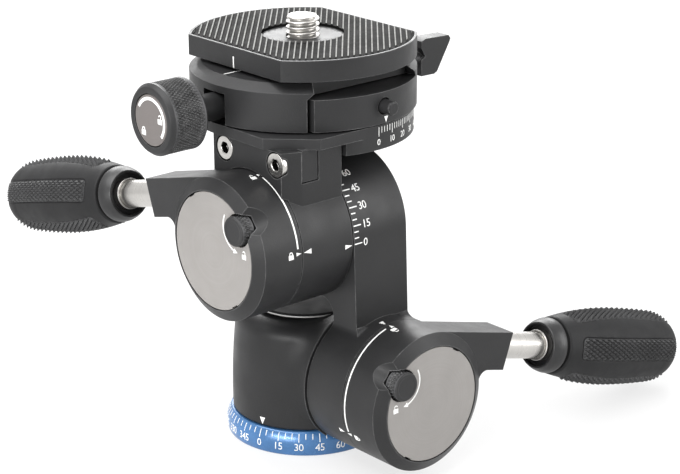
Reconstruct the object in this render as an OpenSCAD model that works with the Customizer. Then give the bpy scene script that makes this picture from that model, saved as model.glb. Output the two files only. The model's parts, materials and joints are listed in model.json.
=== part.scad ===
// Four-way tripod head: pan base, side tilt, front tilt and panning clamp.
// Millimetres. Z is the pan axis and Z = 0 is the face that meets the tripod.
// The lower tilt axis runs along -Y, the upper tilt axis along -X.

/* [Pan base] */
// widest diameter of the graduated base ring
base_d = 48.1; // [40:0.1:60]
// height of the base ring
base_h = 7.2; // [5:0.1:12]
// radius of the rounded outer edge of the base ring
base_edge_r = 7.5; // [6:0.1:12]
// nominal diameter of the tripod thread
socket_d = 9.525; // [6.35:0.005:9.525]
// depth of the tripod thread
socket_depth = 11; // [6:0.5:14]
// diameter of the pan spindle
spindle_d = 14; // [10:0.5:16]

/* [Pan housing] */
// diameter of the housing above the ring
barrel_d = 44.2; // [36:0.1:52]
// how much the housing narrows towards its shoulder
barrel_taper = 2.2; // [0:0.1:4]
// height of the housing's flat top
barrel_top = 39.4; // [36:0.1:46]
// radius of the rounded shoulder
shoulder_r = 5; // [2:0.1:7]
// diameter of the cap on the housing
cap_d = 31.6; // [24:0.1:34]
// thickness of the cap's rim
cap_t = 1.1; // [0.8:0.1:3]
// open space under the cap's rim
cap_gap = 0.9; // [0.3:0.1:2]
// diameter of the pan lock knob
lock_knob_d = 16; // [12:0.5:20]

/* [Lower tilt] */
// height of the lower tilt axis
lower_z = 24.4; // [22:0.1:28]
// distance of the housing's flared rim from the pan axis
flare_at = 24.4; // [24.4:0.1:30]
// diameter of the flared rim
flare_d = 39.8; // [34:0.1:42]
// diameter of the neck under the flare
flare_neck_d = 29.9; // [26:0.1:34]
// length of the bracket's lower hub
lower_hub_len = 14.9; // [10:0.1:20]

/* [Bracket and upper tilt] */
// height of the upper tilt axis
upper_z = 69.1; // [66:0.1:80]
// offset of the upper tilt axis towards -Y
upper_v = 13; // [8:0.1:16]
// diameter of the bracket's round boss
boss_d = 41.2; // [36:0.1:46]
// where the boss ends on the side of the tilt hub
boss_front = 10.3; // [8:0.1:14]
// width of the bracket along the upper axis
boss_w = 19.6; // [14:0.1:24]
// thickness of the bracket's leg
leg_t = 8.9; // [6:0.1:12]
// how much thicker the leg is at the lower axis
leg_draft = 1.6; // [0:0.1:3]
// radius of the fillet between boss and leg
leg_fillet = 5; // [2:0.5:8]
// radius of the fillet on the sides of the leg's foot
foot_side_fillet = 3; // [1:0.1:5]
// radius of the fillet on the front of the leg's foot
foot_front_fillet = 1.9; // [1:0.1:3]
// length of the tilt hub
upper_hub_len = 17.9; // [12:0.1:22]
// width of the block that carries the table
neck_w = 32; // [26:0.5:36]

/* [Lock drums and handles] */
// diameter of a lock drum and of the hubs
drum_d = 40.8; // [34:0.1:46]
// length of a lock drum
drum_len = 15; // [12:0.1:20]
// depth of the bevel on a drum's front edge
drum_bevel = 2.2; // [1:0.1:4]
// diameter of the inset face disc
disc_d = 33.5; // [28:0.1:38]
// thickness of the face disc
disc_t = 1.5; // [1:0.1:3]
// diameter of the small pull knob
pull_d = 8.3; // [6:0.1:10]
// distance of the pull knob from the drum's axis
pull_at = 14.4; // [12:0.1:16]
// angle of the pull knob above the horizontal
pull_angle = 38; // [20:1:50]
// height of the pull knob's cap
pull_h = 4.4; // [3:0.1:6]
// slope of the lower handle below the horizontal
lower_drop = 15.4; // [0:0.1:30]
// slope of the upper handle below the horizontal
upper_drop = 14.4; // [0:0.1:30]
// height of the tab that holds a handle
tab_h = 11.3; // [10:0.1:14]
// thickness of the tab
tab_t = 10.7; // [10:0.1:13]
// reach of the tab from the drum's axis
tab_reach = 29.9; // [26:0.1:36]
// diameter of the steel handle shaft
shaft_d = 8; // [6:0.5:9]
// where the grip's collar starts, from the drum's axis
collar_at = 47.6; // [40:0.1:60]
// length of the collar
collar_len = 5; // [3:0.1:8]
// largest diameter of the collar
collar_d = 16.6; // [15:0.1:18]
// length of the grip behind its collar
grip_len = 54.6; // [45:0.1:80]
// largest diameter of the grip without its pads
grip_d = 22.8; // [18:0.1:28]
// diameter of the grip next to its collar
grip_front_d = 16.8; // [15:0.1:20]
// place of the grip's thickest part, as a share of its length
grip_belly = 0.46; // [0.3:0.01:0.6]
// place where the grip's rounded end starts, as a share of its length
grip_tail = 0.79; // [0.65:0.01:0.9]
// drop of the grip's radius from its thickest part to its rounded end
grip_drop = 0.6; // [0.2:0.1:2]
// where the grip's pads start behind its front
pad_from = 5.6; // [3:0.1:12]
// distance of the pads from the grip's end
pad_end = 3.8; // [2:0.1:12]
// width of a grip pad
pad_w = 6.5; // [4:0.1:8]
// number of grip pads
pad_n = 5; // [3:1:5]
// height of a grip pad above the grip
pad_t = 0.8; // [0.4:0.1:1]
// turn of the pads round the lower handle
pad_turn_lower = 27; // [-36:1:36]
// turn of the pads round the upper handle
pad_turn_upper = 18; // [-36:1:36]

/* [Table and clamp] */
// height of the table's top face
table_top = 100.4; // [98:0.1:106]
// thickness of the table's graduated skirt
table_skirt = 7.1; // [5:0.1:9]
// thickness of the table's corner plate
table_t = 3.1; // [2:0.1:4]
// diameter of the table
table_d = 63.4; // [58:0.1:70]
// distance of the squared corner's sides from the pan axis
table_side = 31.4; // [28:0.1:35]
// size of the chamfer on the squared corner
table_chamfer = 11.2; // [6:0.1:14]
// diameter of the clamp
clamp_d = 65; // [60:0.1:72]
// height of the clamp's floor above its underside
clamp_h = 9.1; // [8:0.1:12]
// where the slot between body and jaw starts
jaw_split = 18.5; // [17:0.1:20]
// width of that slot
jaw_slot = 1.5; // [1:0.1:3]
// height of the jaws above the clamp's floor
jaw_rise = 3.95; // [3:0.05:5]
// diameter of the clamp knob
knob_d = 20.2; // [16:0.1:26]
// length of the clamp knob
knob_len = 12.6; // [8:0.1:12.6]
// distance of the clamp knob's end from the pan axis
knob_end = 53.9; // [50:0.1:60]
// diameter of the clamp knob's end cap
knob_cap_d = 14.4; // [10:0.1:16]
// diameter of the safety pin
pin_d = 4; // [3:0.1:5]

/* [Plate] */
// how far the plate's edge stays inside the clamp's edge
plate_set_back = 0.05; // [0:0.05:1]
// distance between the plate's two flats
plate_flats = 50.2; // [44:0.1:56]
// thickness of the plate's metal
plate_t = 6; // [4:0.1:8]
// open space between the jaws and the plate
plate_gap = 1.05; // [0.3:0.05:2]
// height of the rubber pad above the metal
rubber_t = 0.45; // [0.3:0.05:2]
// distance of the rubber pad from the plate's edge
rubber_inset = 0.9; // [0.5:0.1:3]
// diameter of the opening in the rubber pad
rubber_hole_d = 23.6; // [16:0.1:28]
// nominal diameter of the camera screw
screw_d = 9.525; // [6.35:0.005:9.525]
// height of the camera screw above the rubber pad
screw_h = 4.8; // [4:0.1:8]

/* [Fits] */
// gap between neighbours that move
run_gap = 0.3; // [0.2:0.05:0.5]
// radial clearance of a turning fit
fit_gap = 0.05; // [0.02:0.01:0.1]

/* [Hidden] */
$fn = 96;
lower_hub_at = flare_at + run_gap;
lower_drum_at = lower_hub_at + lower_hub_len + run_gap;
upper_hub_at = boss_front + run_gap;
upper_drum_at = upper_hub_at + upper_hub_len + run_gap;
spindle_r = spindle_d / 2;
insert_r = spindle_r + 0.2;
foot_r = spindle_r + 2;
foot_top = socket_depth + 3.2;
core_r = base_d / 2 - 7.05;
washer_r = foot_r + 2;
lock_r = 2.5;
barrel_z = base_h + run_gap;
washer_z = 33;
cap_z = barrel_top + cap_gap;
lock_z = 17;
axle_r = 7;
seat_at = spindle_r + 3.6;
stub_r = 5;
bush_r = axle_r + fit_gap + 2;
rim_r = disc_d / 2 + 0.45;
tab_z = 1.9;
shaft_z = tab_z + tab_t / 2;
shaft_y = drum_d / 2 - tab_h / 2 + 0.3;
shaft_in = 17;
grip_at = collar_at + collar_len;
pull_x = pull_at * cos(pull_angle);
pull_y = pull_at * sin(pull_angle);
pull_floor = drum_len - 3;
pull_pin_r = 1.5;
skirt_z = table_top - table_skirt;
plate_z0 = table_top - table_t;
neck_front = 30.4;
neck_low = upper_v - neck_w / 2;
neck_high = upper_v + neck_w / 2;
groove_a = 19;
groove_b = 25;
groove_z = 88.2;
bolt_z = 93.5;
bolt_off = 11.1;
bolt_r = 2.4;
bolt_head_r = 3.5;
bolt_head_len = 1.6;
bolt_seat = neck_front - bolt_head_len - 0.1;
tongue_gap = 0.25;
scoop_r = 6;
scoop_tilt = 30;
scoop_at = drum_d / 2 + 4.5;
clamp_z = table_top + 0.5;
floor_z = clamp_z + clamp_h;
jaw_z = floor_z + jaw_rise;
knob_z = clamp_z + 4.6;
pin_z = clamp_z + 4.95;
jaw_in = jaw_split + jaw_slot;
hook_in = jaw_in - 3.4;
notch_at = clamp_d / 2 - 5.5;
knob_back = knob_end - knob_len;
stem_r = 3.9;
notch_w = 9.4;
clamp_screw_r = 2.9;
rod_v = 14;
rod_r = 2;
rod_in = 8;
rod_end = notch_at - 1;
pin_x = 2;
pin_in = clamp_d / 2 - 6.5;
lever_in = clamp_d / 2 - 10.5;
pivot_r = 8;
pivot_head_r = 11;
screw_in = pivot_head_r + 2 * run_gap;
plate_d = clamp_d - 2 * plate_set_back;
tail_len = 46;
plate_z = jaw_z + plate_gap;
rubber_z = plate_z + plate_t;
rubber_seat = rubber_z - 0.6;
screw_r = screw_d / 2;
screw_neck_r = screw_r - 0.9;
screw_head_r = 9;
tail_gap = 0.16;

// sub-part to draw, or all of them

// places children on the lower tilt axis, local z pointing out along -Y
module on_lower(at = 0) {
  translate([0, 0, lower_z]) rotate([90, 0, 0]) translate([0, 0, at]) children();
}

// places children on the upper tilt axis, local z pointing out along -X
module on_upper(at = 0) {
  translate([0, -upper_v, upper_z]) rotate([90, 0, -90]) translate([0, 0, at]) children();
}

// local z pointing out along -X at a given offset towards -Y and height
module along_left(v, z) {
  translate([0, -v, z]) rotate([90, 0, -90]) children();
}

// plain ring between two radii
module ring(r_in, r_out, h) {
  difference() {
    cylinder(r = r_out, h = h);
    translate([0, 0, -1]) cylinder(r = r_in, h = h + 2);
  }
}

// half profile of the base ring with its rounded outer edge
module base_profile() {
  mid = 2.6;
  intersection() {
    translate([core_r, 0]) square([10, base_h]);
    union() {
      translate([base_d / 2 - base_edge_r, mid]) circle(r = base_edge_r);
      square([base_d / 2 - base_edge_r, base_h]);
    }
  }
}

module base_ring() {
  color("#2c6fb8") rotate_extrude() base_profile();
}

module base_core() {
  color("#1d1e20") difference() {
    cylinder(r = core_r, h = base_h - 0.4);
    translate([0, 0, -1]) cylinder(r = insert_r, h = 20);
  }
}

module thread_insert() {
  color("#b9bbbd") difference() {
    cylinder(r = insert_r, h = socket_depth + 0.4);
    translate([0, 0, -1]) cylinder(r = socket_d / 2 - 0.79, h = socket_depth + 5);
  }
}

module pan_spindle() {
  color("#a9abae") difference() {
    union() {
      translate([0, 0, base_h - 0.4]) cylinder(r = foot_r, h = foot_top - base_h + 0.4);
      cylinder(r = spindle_r, h = washer_z + 0.3);
      cylinder(r = stub_r, h = barrel_top - 1);
    }
    translate([0, 0, -1]) cylinder(r = insert_r, h = socket_depth + 1.4);
  }
}

module pan_washer() {
  color("#c3a35b") translate([0, 0, washer_z + 0.3]) ring(stub_r, washer_r, 1.4);
}

module pan_nut() {
  color("#a9abae") difference() {
    translate([0, 0, washer_z + 1.7]) cylinder(r = 9.2, h = 3.4, $fn = 6);
    cylinder(r = stub_r, h = 60);
  }
}

// outline radius of the housing at height z
function barrel_r(z) = barrel_d / 2 - barrel_taper / 2 * pow(max(0, z - 12) / 22, 2);

module barrel_profile() {
  z_s = barrel_top - shoulder_r;
  r_s = barrel_r(z_s);
  steps = 10;
  side = [for (i = [0:steps]) let (z = barrel_z + (z_s - barrel_z) * i / steps) [barrel_r(z), z]];
  polygon(concat([[0, barrel_z]], side, [[r_s - shoulder_r, z_s], [0, z_s]]));
  intersection() {
    translate([r_s - shoulder_r, z_s]) circle(r = shoulder_r);
    translate([0, z_s - 0.1]) square([40, 40]);
  }
  translate([0, z_s - 0.1]) square([r_s - shoulder_r, shoulder_r + 0.1]);
}

// trumpet that widens from the barrel to the flared rim
module flare() {
  rise = (flare_d - flare_neck_d) / 2;
  run = flare_at - 12;
  arc_r = (run * run + rise * rise) / (2 * rise);
  on_lower() rotate_extrude() difference() {
    translate([0, 4]) square([flare_d / 2, flare_at - 4]);
    translate([flare_neck_d / 2 + arc_r, 12]) circle(r = arc_r);
    translate([flare_neck_d / 2, 3]) square([20, 9]);
  }
}

module pan_housing() {
  color("#1b1c1e") difference() {
    union() {
      rotate_extrude() barrel_profile();
      difference() {
        flare();
        translate([0, 0, -1]) cylinder(r = base_d / 2 + run_gap, h = barrel_z + 1);
      }
    }
    translate([0, 0, -1]) cylinder(r = spindle_r + fit_gap, h = 60);
    translate([0, 0, -1]) cylinder(r = foot_r + fit_gap, h = foot_top + run_gap + 1);
    translate([0, 0, washer_z]) cylinder(r = washer_r + run_gap, h = 40);
    on_lower(seat_at) cylinder(r = axle_r + 1, h = 40);
    translate([0, 0, lock_z]) rotate([0, 90, 0]) cylinder(r = lock_r + fit_gap, h = 60);
  }
}

module pan_cap() {
  color("#232426") {
    translate([0, 0, cap_z]) cylinder(r = cap_d / 2, h = cap_t);
    translate([0, 0, barrel_top]) ring(11.5, 12.9, cap_gap);
  }
}

module pan_lock_knob() {
  knob_at = barrel_d / 2 + 1.4;
  color("#1b1c1e") translate([0, 0, lock_z]) rotate([0, 90, 0]) rotate_extrude() polygon([
    [0, spindle_r + run_gap], [lock_r, spindle_r + run_gap], [lock_r, barrel_d / 2 + run_gap],
    [4.6, barrel_d / 2 + run_gap], [4.6, knob_at], [lock_knob_d / 2 - 0.7, knob_at],
    [lock_knob_d / 2, knob_at + 0.7], [lock_knob_d / 2, knob_at + 9],
    [lock_knob_d / 2 - 1.2, knob_at + 10.2], [0, knob_at + 10.2]
  ]);
}

// stepped axle: seat in the fixed part, journal in the hub, stub in the drum
module axle(seat_from, hub_from, drum_from) {
  translate([0, 0, seat_from]) cylinder(r = axle_r + 1, h = hub_from - run_gap - seat_from);
  translate([0, 0, hub_from - run_gap]) cylinder(r = axle_r, h = drum_from - hub_from);
  translate([0, 0, drum_from - run_gap]) cylinder(r = stub_r, h = 12.6);
}

module lower_axle() {
  color("#a9abae") on_lower() axle(seat_at, lower_hub_at, lower_drum_at);
}

// side view of the bracket: round boss, leg and the fillet between them
module bracket_side() {
  leg_v = lower_hub_at;
  boss_r = boss_d / 2;
  fillet_v = leg_v - leg_fillet;
  fillet_z = upper_z - sqrt(pow(boss_r + leg_fillet, 2) - pow(fillet_v - upper_v, 2));
  translate([upper_v, upper_z]) circle(r = boss_r);
  polygon([
    [leg_v, lower_z], [leg_v + leg_t + leg_draft, lower_z], [leg_v + leg_t, upper_z], [leg_v, upper_z]
  ]);
  difference() {
    translate([fillet_v, fillet_z]) square([leg_fillet + 1, upper_z - fillet_z]);
    translate([fillet_v, fillet_z]) circle(r = leg_fillet);
  }
}

// one side of the leg's foot, filleted onto the hub, w from the axis
module foot_side(w) {
  hub_r = drum_d / 2;
  mid_r = hub_r + foot_side_fillet;
  mid_x = w + foot_side_fillet;
  mid_y = sqrt(mid_r * mid_r - mid_x * mid_x);
  difference() {
    polygon([[0, 0], [mid_x, mid_y] * hub_r / mid_r, [mid_x, mid_y], [0, mid_y]]);
    translate([mid_x, mid_y]) circle(r = foot_side_fillet);
  }
}

// fillets between the leg's sides and front and the lower hub
module leg_foot() {
  hub_r = drum_d / 2;
  front = leg_t + leg_draft * (upper_z - lower_z - hub_r) / (upper_z - lower_z);
  on_lower(lower_hub_at) intersection() {
    linear_extrude(front + foot_front_fillet) {
      mirror([1, 0]) foot_side(boss_front);
      foot_side(boss_w - boss_front);
    }
    union() {
      cylinder(r = 2 * hub_r, h = front - 0.2);
      rotate_extrude() {
        square([hub_r, front + foot_front_fillet]);
        difference() {
          translate([0, front - 0.3]) square([hub_r + foot_front_fillet, foot_front_fillet + 0.3]);
          translate([hub_r + foot_front_fillet, front + foot_front_fillet]) circle(r = foot_front_fillet);
        }
      }
    }
  }
}

module bracket() {
  color("#1b1c1e") difference() {
    union() {
      along_left(0, 0) translate([0, 0, boss_front - boss_w]) linear_extrude(boss_w) bracket_side();
      on_lower(lower_hub_at) cylinder(r = drum_d / 2, h = lower_hub_len);
      leg_foot();
    }
    on_lower(lower_hub_at - 1) cylinder(r = bush_r, h = lower_hub_len + 2);
    on_upper(boss_front - boss_w + 3) cylinder(r = axle_r + 1, h = boss_w);
  }
}

module lower_bush() {
  color("#b08d45") on_lower(lower_hub_at + 0.2) ring(axle_r + fit_gap, bush_r, lower_hub_len - 0.4);
}

module upper_axle() {
  color("#a9abae") on_upper() axle(boss_front - boss_w + 3, upper_hub_at, upper_drum_at);
}

// turns children into the frame of a sloping handle, x along it on the given side
module handle_frame(side, drop) {
  rotate([0, 0, -side * drop]) children();
}

// local z along the handle, away from the drum
module handle_axis(side, drop) {
  handle_frame(side, drop) translate([0, shaft_y, shaft_z]) rotate([0, side * 90, 0]) children();
}

// outline of the tab that leaves the drum as a tangent
module tab_outline(side) {
  top = drum_d / 2;
  low = top - tab_h;
  fil = 3;
  inner = sqrt(pow(top + fil, 2) - pow(low - fil, 2));
  difference() {
    polygon([
      [0, top], [side * tab_reach, top], [side * (tab_reach - 0.9), low],
      [side * inner, low], [side * inner, low - fil], [side * 4, low - fil], [0, 0]
    ]);
    translate([side * inner, low - fil]) circle(r = fil);
  }
}

// recess round the pull knob
module pull_recess(side) {
  translate([-side * pull_x, pull_y]) circle(r = pull_d / 2 + 0.5);
}

// finger scoop that opens the recess through the drum's rim
module pull_scoop(side) {
  rotate([0, 0, 90 + side * (90 - pull_angle)]) translate([scoop_at, 0, drum_len - drum_bevel])
    rotate([0, -scoop_tilt, 0]) cylinder(r = scoop_r, h = 30, center = true);
}

module drum(side, drop) {
  r = drum_d / 2;
  difference() {
    union() {
      rotate_extrude() polygon([
        [0, 0], [r, 0], [r, drum_len - drum_bevel], [rim_r, drum_len],
        [disc_d / 2 + 0.25, drum_len], [disc_d / 2 + 0.25, drum_len - disc_t - 0.1],
        [0, drum_len - disc_t - 0.1]
      ]);
      handle_frame(side, drop) translate([0, 0, tab_z]) linear_extrude(tab_t) tab_outline(side);
    }
    translate([0, 0, -1]) cylinder(r = stub_r + fit_gap, h = drum_len + 2);
    translate([0, 0, drum_len - disc_t - 4.1]) cylinder(r = 8.5, h = 10);
    translate([0, 0, pull_floor]) linear_extrude(10) pull_recess(side);
    pull_scoop(side);
    translate([-side * pull_x, pull_y, 2]) cylinder(r = pull_pin_r + fit_gap, h = 20);
    handle_axis(side, drop) translate([0, 0, shaft_in]) cylinder(r = shaft_d / 2, h = 40);
  }
}

module face_disc(side) {
  difference() {
    translate([0, 0, drum_len - disc_t - 0.1]) cylinder(r = disc_d / 2, h = disc_t);
    linear_extrude(40) pull_recess(side);
    for (k = [0, 180]) rotate([0, 0, 90 - side * 33 + k])
      translate([disc_d / 2 - 0.35, -1.3, 0]) cube([2, 2.6, 40]);
  }
}

module lock_nut() {
  translate([0, 0, drum_len - disc_t - 4.1]) ring(stub_r + fit_gap, 8.5, 3.2);
}

module handle_shaft(side, drop) {
  handle_axis(side, drop) translate([0, 0, shaft_in]) cylinder(r = shaft_d / 2, h = grip_at + 8 - shaft_in);
}

module collar(side, drop) {
  r = shaft_d / 2;
  rim = collar_d / 2;
  mouth = rim - 2;
  seam = collar_len - 0.5;
  handle_axis(side, drop) translate([0, 0, collar_at]) rotate_extrude() polygon([
    [r, 1.8], [mouth, 1.8], [mouth, 0], [mouth + 0.6, 0], [rim - 0.5, collar_len * 0.35],
    [rim, collar_len * 0.7], [rim, seam], [rim - 0.7, seam], [rim - 0.7, collar_len],
    [r, collar_len]
  ]);
}

// radius of the grip at distance s from its front
function grip_r(s) =
  let (
    top = grip_len * grip_belly,
    tail = grip_len * grip_tail,
    front = grip_d / 2 - (grip_d - grip_front_d) / 2 * pow(1 - s / top, 2),
    back = grip_d / 2 - grip_drop * pow((s - top) / (tail - top), 2),
    edge = grip_d / 2 - grip_drop
  )
  s < top ? front : s < tail ? back : edge * sqrt(max(0, 1 - pow((s - tail) / (grip_len - tail), 2.6)));

// half profile of the grip, grown by extra
module grip_profile(extra) {
  n = 26;
  pts = [for (i = [0:n]) let (s = grip_len * sin(90 * i / n)) [max(grip_r(s), 0.05) + extra, s]];
  polygon(concat([[0, 0]], pts, [[0, grip_len]]));
}

module grip(side, drop) {
  handle_axis(side, drop) translate([0, 0, grip_at]) difference() {
    rotate_extrude() grip_profile(0);
    translate([0, 0, -1]) cylinder(r = shaft_d / 2, h = 9);
  }
}

// rectangle with rounded corners, centred across x
module pad_outline(l, w, r) {
  translate([0, r - w / 2]) square([l, w - 2 * r]);
  translate([r, -w / 2]) square([l - 2 * r, w]);
  for (x = [r, l - r]) for (y = [r - w / 2, w / 2 - r]) translate([x, y]) circle(r = r);
}

// raised pads round the grip, between its shoulder and its rounded end
module pads(side, drop, turn) {
  last = grip_len - pad_end;
  handle_axis(side, drop) translate([0, 0, grip_at]) difference() {
    intersection() {
      rotate_extrude() grip_profile(pad_t);
      for (k = [0:pad_n - 1]) rotate([0, 0, turn + 360 / pad_n * k]) translate([0, 0, last])
        rotate([0, 90, 0]) linear_extrude(40) pad_outline(last - pad_from, pad_w, 1.6);
    }
    rotate_extrude() grip_profile(0);
  }
}

// knurled cap on a pin that slides in the drum
module pull(side) {
  translate([-side * pull_x, pull_y, 0]) {
    translate([0, 0, 4.8]) cylinder(r = pull_pin_r, h = pull_floor + run_gap - 4.7);
    translate([0, 0, pull_floor + run_gap]) rotate_extrude() polygon([
      [0, 0], [pull_d / 2, 0], [pull_d / 2, pull_h - 0.25], [pull_d / 2 - 0.25, pull_h], [0, pull_h]
    ]);
  }
}

module lower_drum() {
  color("#1b1c1e") on_lower(lower_drum_at) drum(1, lower_drop);
}

module lower_disc() {
  color("#9b9894") on_lower(lower_drum_at) face_disc(1);
}

module lower_lock_nut() {
  color("#b08d45") on_lower(lower_drum_at) lock_nut();
}

module lower_shaft() {
  color("#d4d2ce") on_lower(lower_drum_at) handle_shaft(1, lower_drop);
}

module lower_collar() {
  color("#2b2c2f") on_lower(lower_drum_at) collar(1, lower_drop);
}

module lower_grip() {
  color("#232426") on_lower(lower_drum_at) grip(1, lower_drop);
}

module lower_pads() {
  color("#151516") on_lower(lower_drum_at) pads(1, lower_drop, pad_turn_lower);
}

module lower_pull() {
  color("#1f2022") on_lower(lower_drum_at) pull(1);
}

// block over the tilt hub with a chamfered front corner, seen from above
module neck_outline() {
  polygon([
    [-upper_hub_at - 0.2, -neck_low], [-neck_front, -neck_low], [-neck_front, -neck_high + 2.3],
    [-groove_b + 0.1, -neck_high], [-upper_hub_at - 0.2, -neck_high]
  ]);
}

module tilt_hub() {
  color("#1b1c1e") difference() {
    union() {
      on_upper(upper_hub_at) cylinder(r = drum_d / 2, h = upper_hub_len);
      translate([0, 0, upper_z]) linear_extrude(plate_z0 - upper_z) neck_outline();
    }
    on_upper(upper_hub_at - 1) cylinder(r = bush_r, h = upper_hub_len + 2);
    on_upper(upper_hub_at + upper_hub_len) cylinder(r = drum_d / 2 + run_gap, h = 10);
    translate([-groove_b, -60, groove_z]) cube([groove_b - groove_a, 100, 30]);
    for (s = [-1, 1]) along_left(upper_v + s * bolt_off, bolt_z) {
      translate([0, 0, groove_b - 8]) cylinder(r = bolt_r + 0.1, h = 20);
      translate([0, 0, bolt_seat]) cylinder(r = bolt_head_r + 0.25, h = 10);
    }
  }
}

module upper_bush() {
  color("#b08d45") on_upper(upper_hub_at + 0.2) ring(axle_r + fit_gap, bush_r, upper_hub_len - 0.4);
}

// table outline: a disc whose front left corner is squared and chamfered
module table_outline() {
  c = table_chamfer;
  s = table_side;
  circle(r = table_d / 2);
  polygon([[0, 0], [-s, 0], [-s, -s + c], [-s + c, -s], [0, -s]]);
}

module tilt_table() {
  skirt_end = upper_hub_at - 0.6;
  tongue_low = neck_low + 0.2;
  tongue_w = neck_w - 0.4;
  color("#1e1f21") difference() {
    union() {
      translate([0, 0, plate_z0]) linear_extrude(table_t) table_outline();
      difference() {
        translate([0, 0, skirt_z]) cylinder(r = table_d / 2, h = table_skirt);
        translate([-skirt_end - 80, -60, skirt_z - 1]) cube([80, 120, table_skirt - table_t + 1]);
      }
      translate([-groove_b + tongue_gap, -tongue_low - tongue_w, groove_z + tongue_gap])
        cube([groove_b - groove_a - 2 * tongue_gap, tongue_w, plate_z0 - groove_z]);
    }
    translate([0, 0, skirt_z - 1]) cylinder(r = pivot_r, h = 20);
    for (s = [-1, 1]) along_left(upper_v + s * bolt_off, bolt_z)
      translate([0, 0, groove_a - 1]) cylinder(r = bolt_r, h = 20);
  }
}

// socket-head screw, head outermost
module table_bolt(v) {
  color("#c9c7c3") along_left(v, bolt_z) difference() {
    union() {
      translate([0, 0, groove_a + 0.6]) cylinder(r = bolt_r, h = bolt_seat - groove_a - 0.6);
      translate([0, 0, bolt_seat]) cylinder(r = bolt_head_r, h = bolt_head_len);
    }
    translate([0, 0, neck_front - 2.1]) cylinder(r = 3 / sqrt(3), h = 5, $fn = 6);
  }
}

module table_bolt_rear() {
  table_bolt(upper_v - bolt_off);
}

module table_bolt_front() {
  table_bolt(upper_v + bolt_off);
}

// pivot on which the clamp turns, with a head that keeps the clamp down
module table_pivot() {
  color("#a9abae") rotate_extrude() polygon([
    [0, skirt_z], [pivot_r, skirt_z], [pivot_r, floor_z - 2], [pivot_head_r, floor_z - 2],
    [pivot_head_r, floor_z - 0.4], [0, floor_z - 0.4]
  ]);
}

module upper_drum() {
  color("#1b1c1e") on_upper(upper_drum_at) drum(-1, upper_drop);
}

module upper_disc() {
  color("#9b9894") on_upper(upper_drum_at) face_disc(-1);
}

module upper_lock_nut() {
  color("#b08d45") on_upper(upper_drum_at) lock_nut();
}

module upper_shaft() {
  color("#d4d2ce") on_upper(upper_drum_at) handle_shaft(-1, upper_drop);
}

module upper_collar() {
  color("#2b2c2f") on_upper(upper_drum_at) collar(-1, upper_drop);
}

module upper_grip() {
  color("#232426") on_upper(upper_drum_at) grip(-1, upper_drop);
}

module upper_pads() {
  color("#151516") on_upper(upper_drum_at) pads(-1, upper_drop, pad_turn_upper);
}

module upper_pull() {
  color("#1f2022") on_upper(upper_drum_at) pull(-1);
}

// dovetail space between the two jaws, wider at the floor than at the top
module dovetail_space() {
  rotate([90, 0, 0]) translate([0, 0, -60]) linear_extrude(120) polygon([
    [-jaw_in, floor_z], [jaw_in, floor_z], [hook_in, jaw_z], [hook_in, jaw_z + 5],
    [-hook_in, jaw_z + 5], [-hook_in, jaw_z]
  ]);
}

// full clamp blank: straight wall, bevelled top and the dovetail channel
module clamp_blank() {
  r = clamp_d / 2;
  difference() {
    rotate_extrude() polygon([
      [0, clamp_z], [r, clamp_z], [r, floor_z + 1.85], [r - 3.4, jaw_z], [0, jaw_z]
    ]);
    dovetail_space();
  }
}

module clamp_body() {
  color("#1b1c1e") difference() {
    clamp_blank();
    translate([-jaw_split - 40, -60, clamp_z - 1]) cube([40, 120, 40]);
    translate([-40, -60, floor_z]) cube([40, 120, 20]);
    translate([0, 0, clamp_z - 1]) cylinder(r = pivot_r + fit_gap, h = 20);
    translate([0, 0, floor_z - 2 - run_gap]) cylinder(r = pivot_head_r + run_gap, h = 20);
    along_left(0, knob_z) translate([0, 0, screw_in - run_gap])
      cylinder(r = clamp_screw_r + fit_gap, h = 20);
    for (s = [-1, 1]) along_left(s * rod_v, pin_z) translate([0, 0, rod_in]) cylinder(r = rod_r, h = 30);
    translate([lever_in - 2, 0, pin_z]) rotate([0, 90, 0]) cylinder(r = lock_r + fit_gap, h = 30);
    translate([pin_x, 0, pin_z]) rotate([90, 0, 0]) {
      translate([0, 0, pin_in - 4]) cylinder(r = pin_d / 2 + fit_gap, h = 20);
      translate([0, 0, pin_in + 4.6]) cylinder(r = pin_d / 2 + 0.5, h = 5);
    }
  }
}

// guide rod that is fixed in the body and slides in the jaw
module jaw_rod(v) {
  color("#a9abae") along_left(v, pin_z) translate([0, 0, rod_in]) cylinder(r = rod_r, h = rod_end - rod_in);
}

module jaw_rod_a() {
  jaw_rod(rod_v);
}

module jaw_rod_b() {
  jaw_rod(-rod_v);
}

module clamp_jaw() {
  color("#1b1c1e") difference() {
    clamp_blank();
    translate([-jaw_in, -60, clamp_z - 1]) cube([80, 120, clamp_h + 1]);
    translate([0, -60, clamp_z - 1]) cube([80, 120, 40]);
    translate([-notch_at - 20, -notch_w / 2, clamp_z - 1]) cube([20, notch_w, clamp_h + 0.8]);
    along_left(0, knob_z) cylinder(r = clamp_screw_r + 0.3, h = 60);
    for (s = [-1, 1]) along_left(s * rod_v, pin_z) cylinder(r = rod_r + fit_gap, h = notch_at);
  }
}

module clamp_screw() {
  color("#a9abae") along_left(0, knob_z) translate([0, 0, screw_in]) {
    cylinder(r = clamp_screw_r, h = knob_back + 4 - screw_in);
  }
}

module clamp_knob() {
  r = knob_d / 2;
  color("#1b1c1e") along_left(0, knob_z) difference() {
    rotate_extrude() polygon([
      [0, notch_at + run_gap], [stem_r, notch_at + run_gap], [stem_r, knob_back], [r - 0.9, knob_back],
      [r, knob_back + 0.9], [r, knob_end - 1.2], [r - 0.9, knob_end], [knob_cap_d / 2 + 0.2, knob_end],
      [knob_cap_d / 2 + 0.2, knob_end - 1.3], [0, knob_end - 1.3]
    ]);
    cylinder(r = clamp_screw_r, h = knob_back + 4);
  }
}

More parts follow.
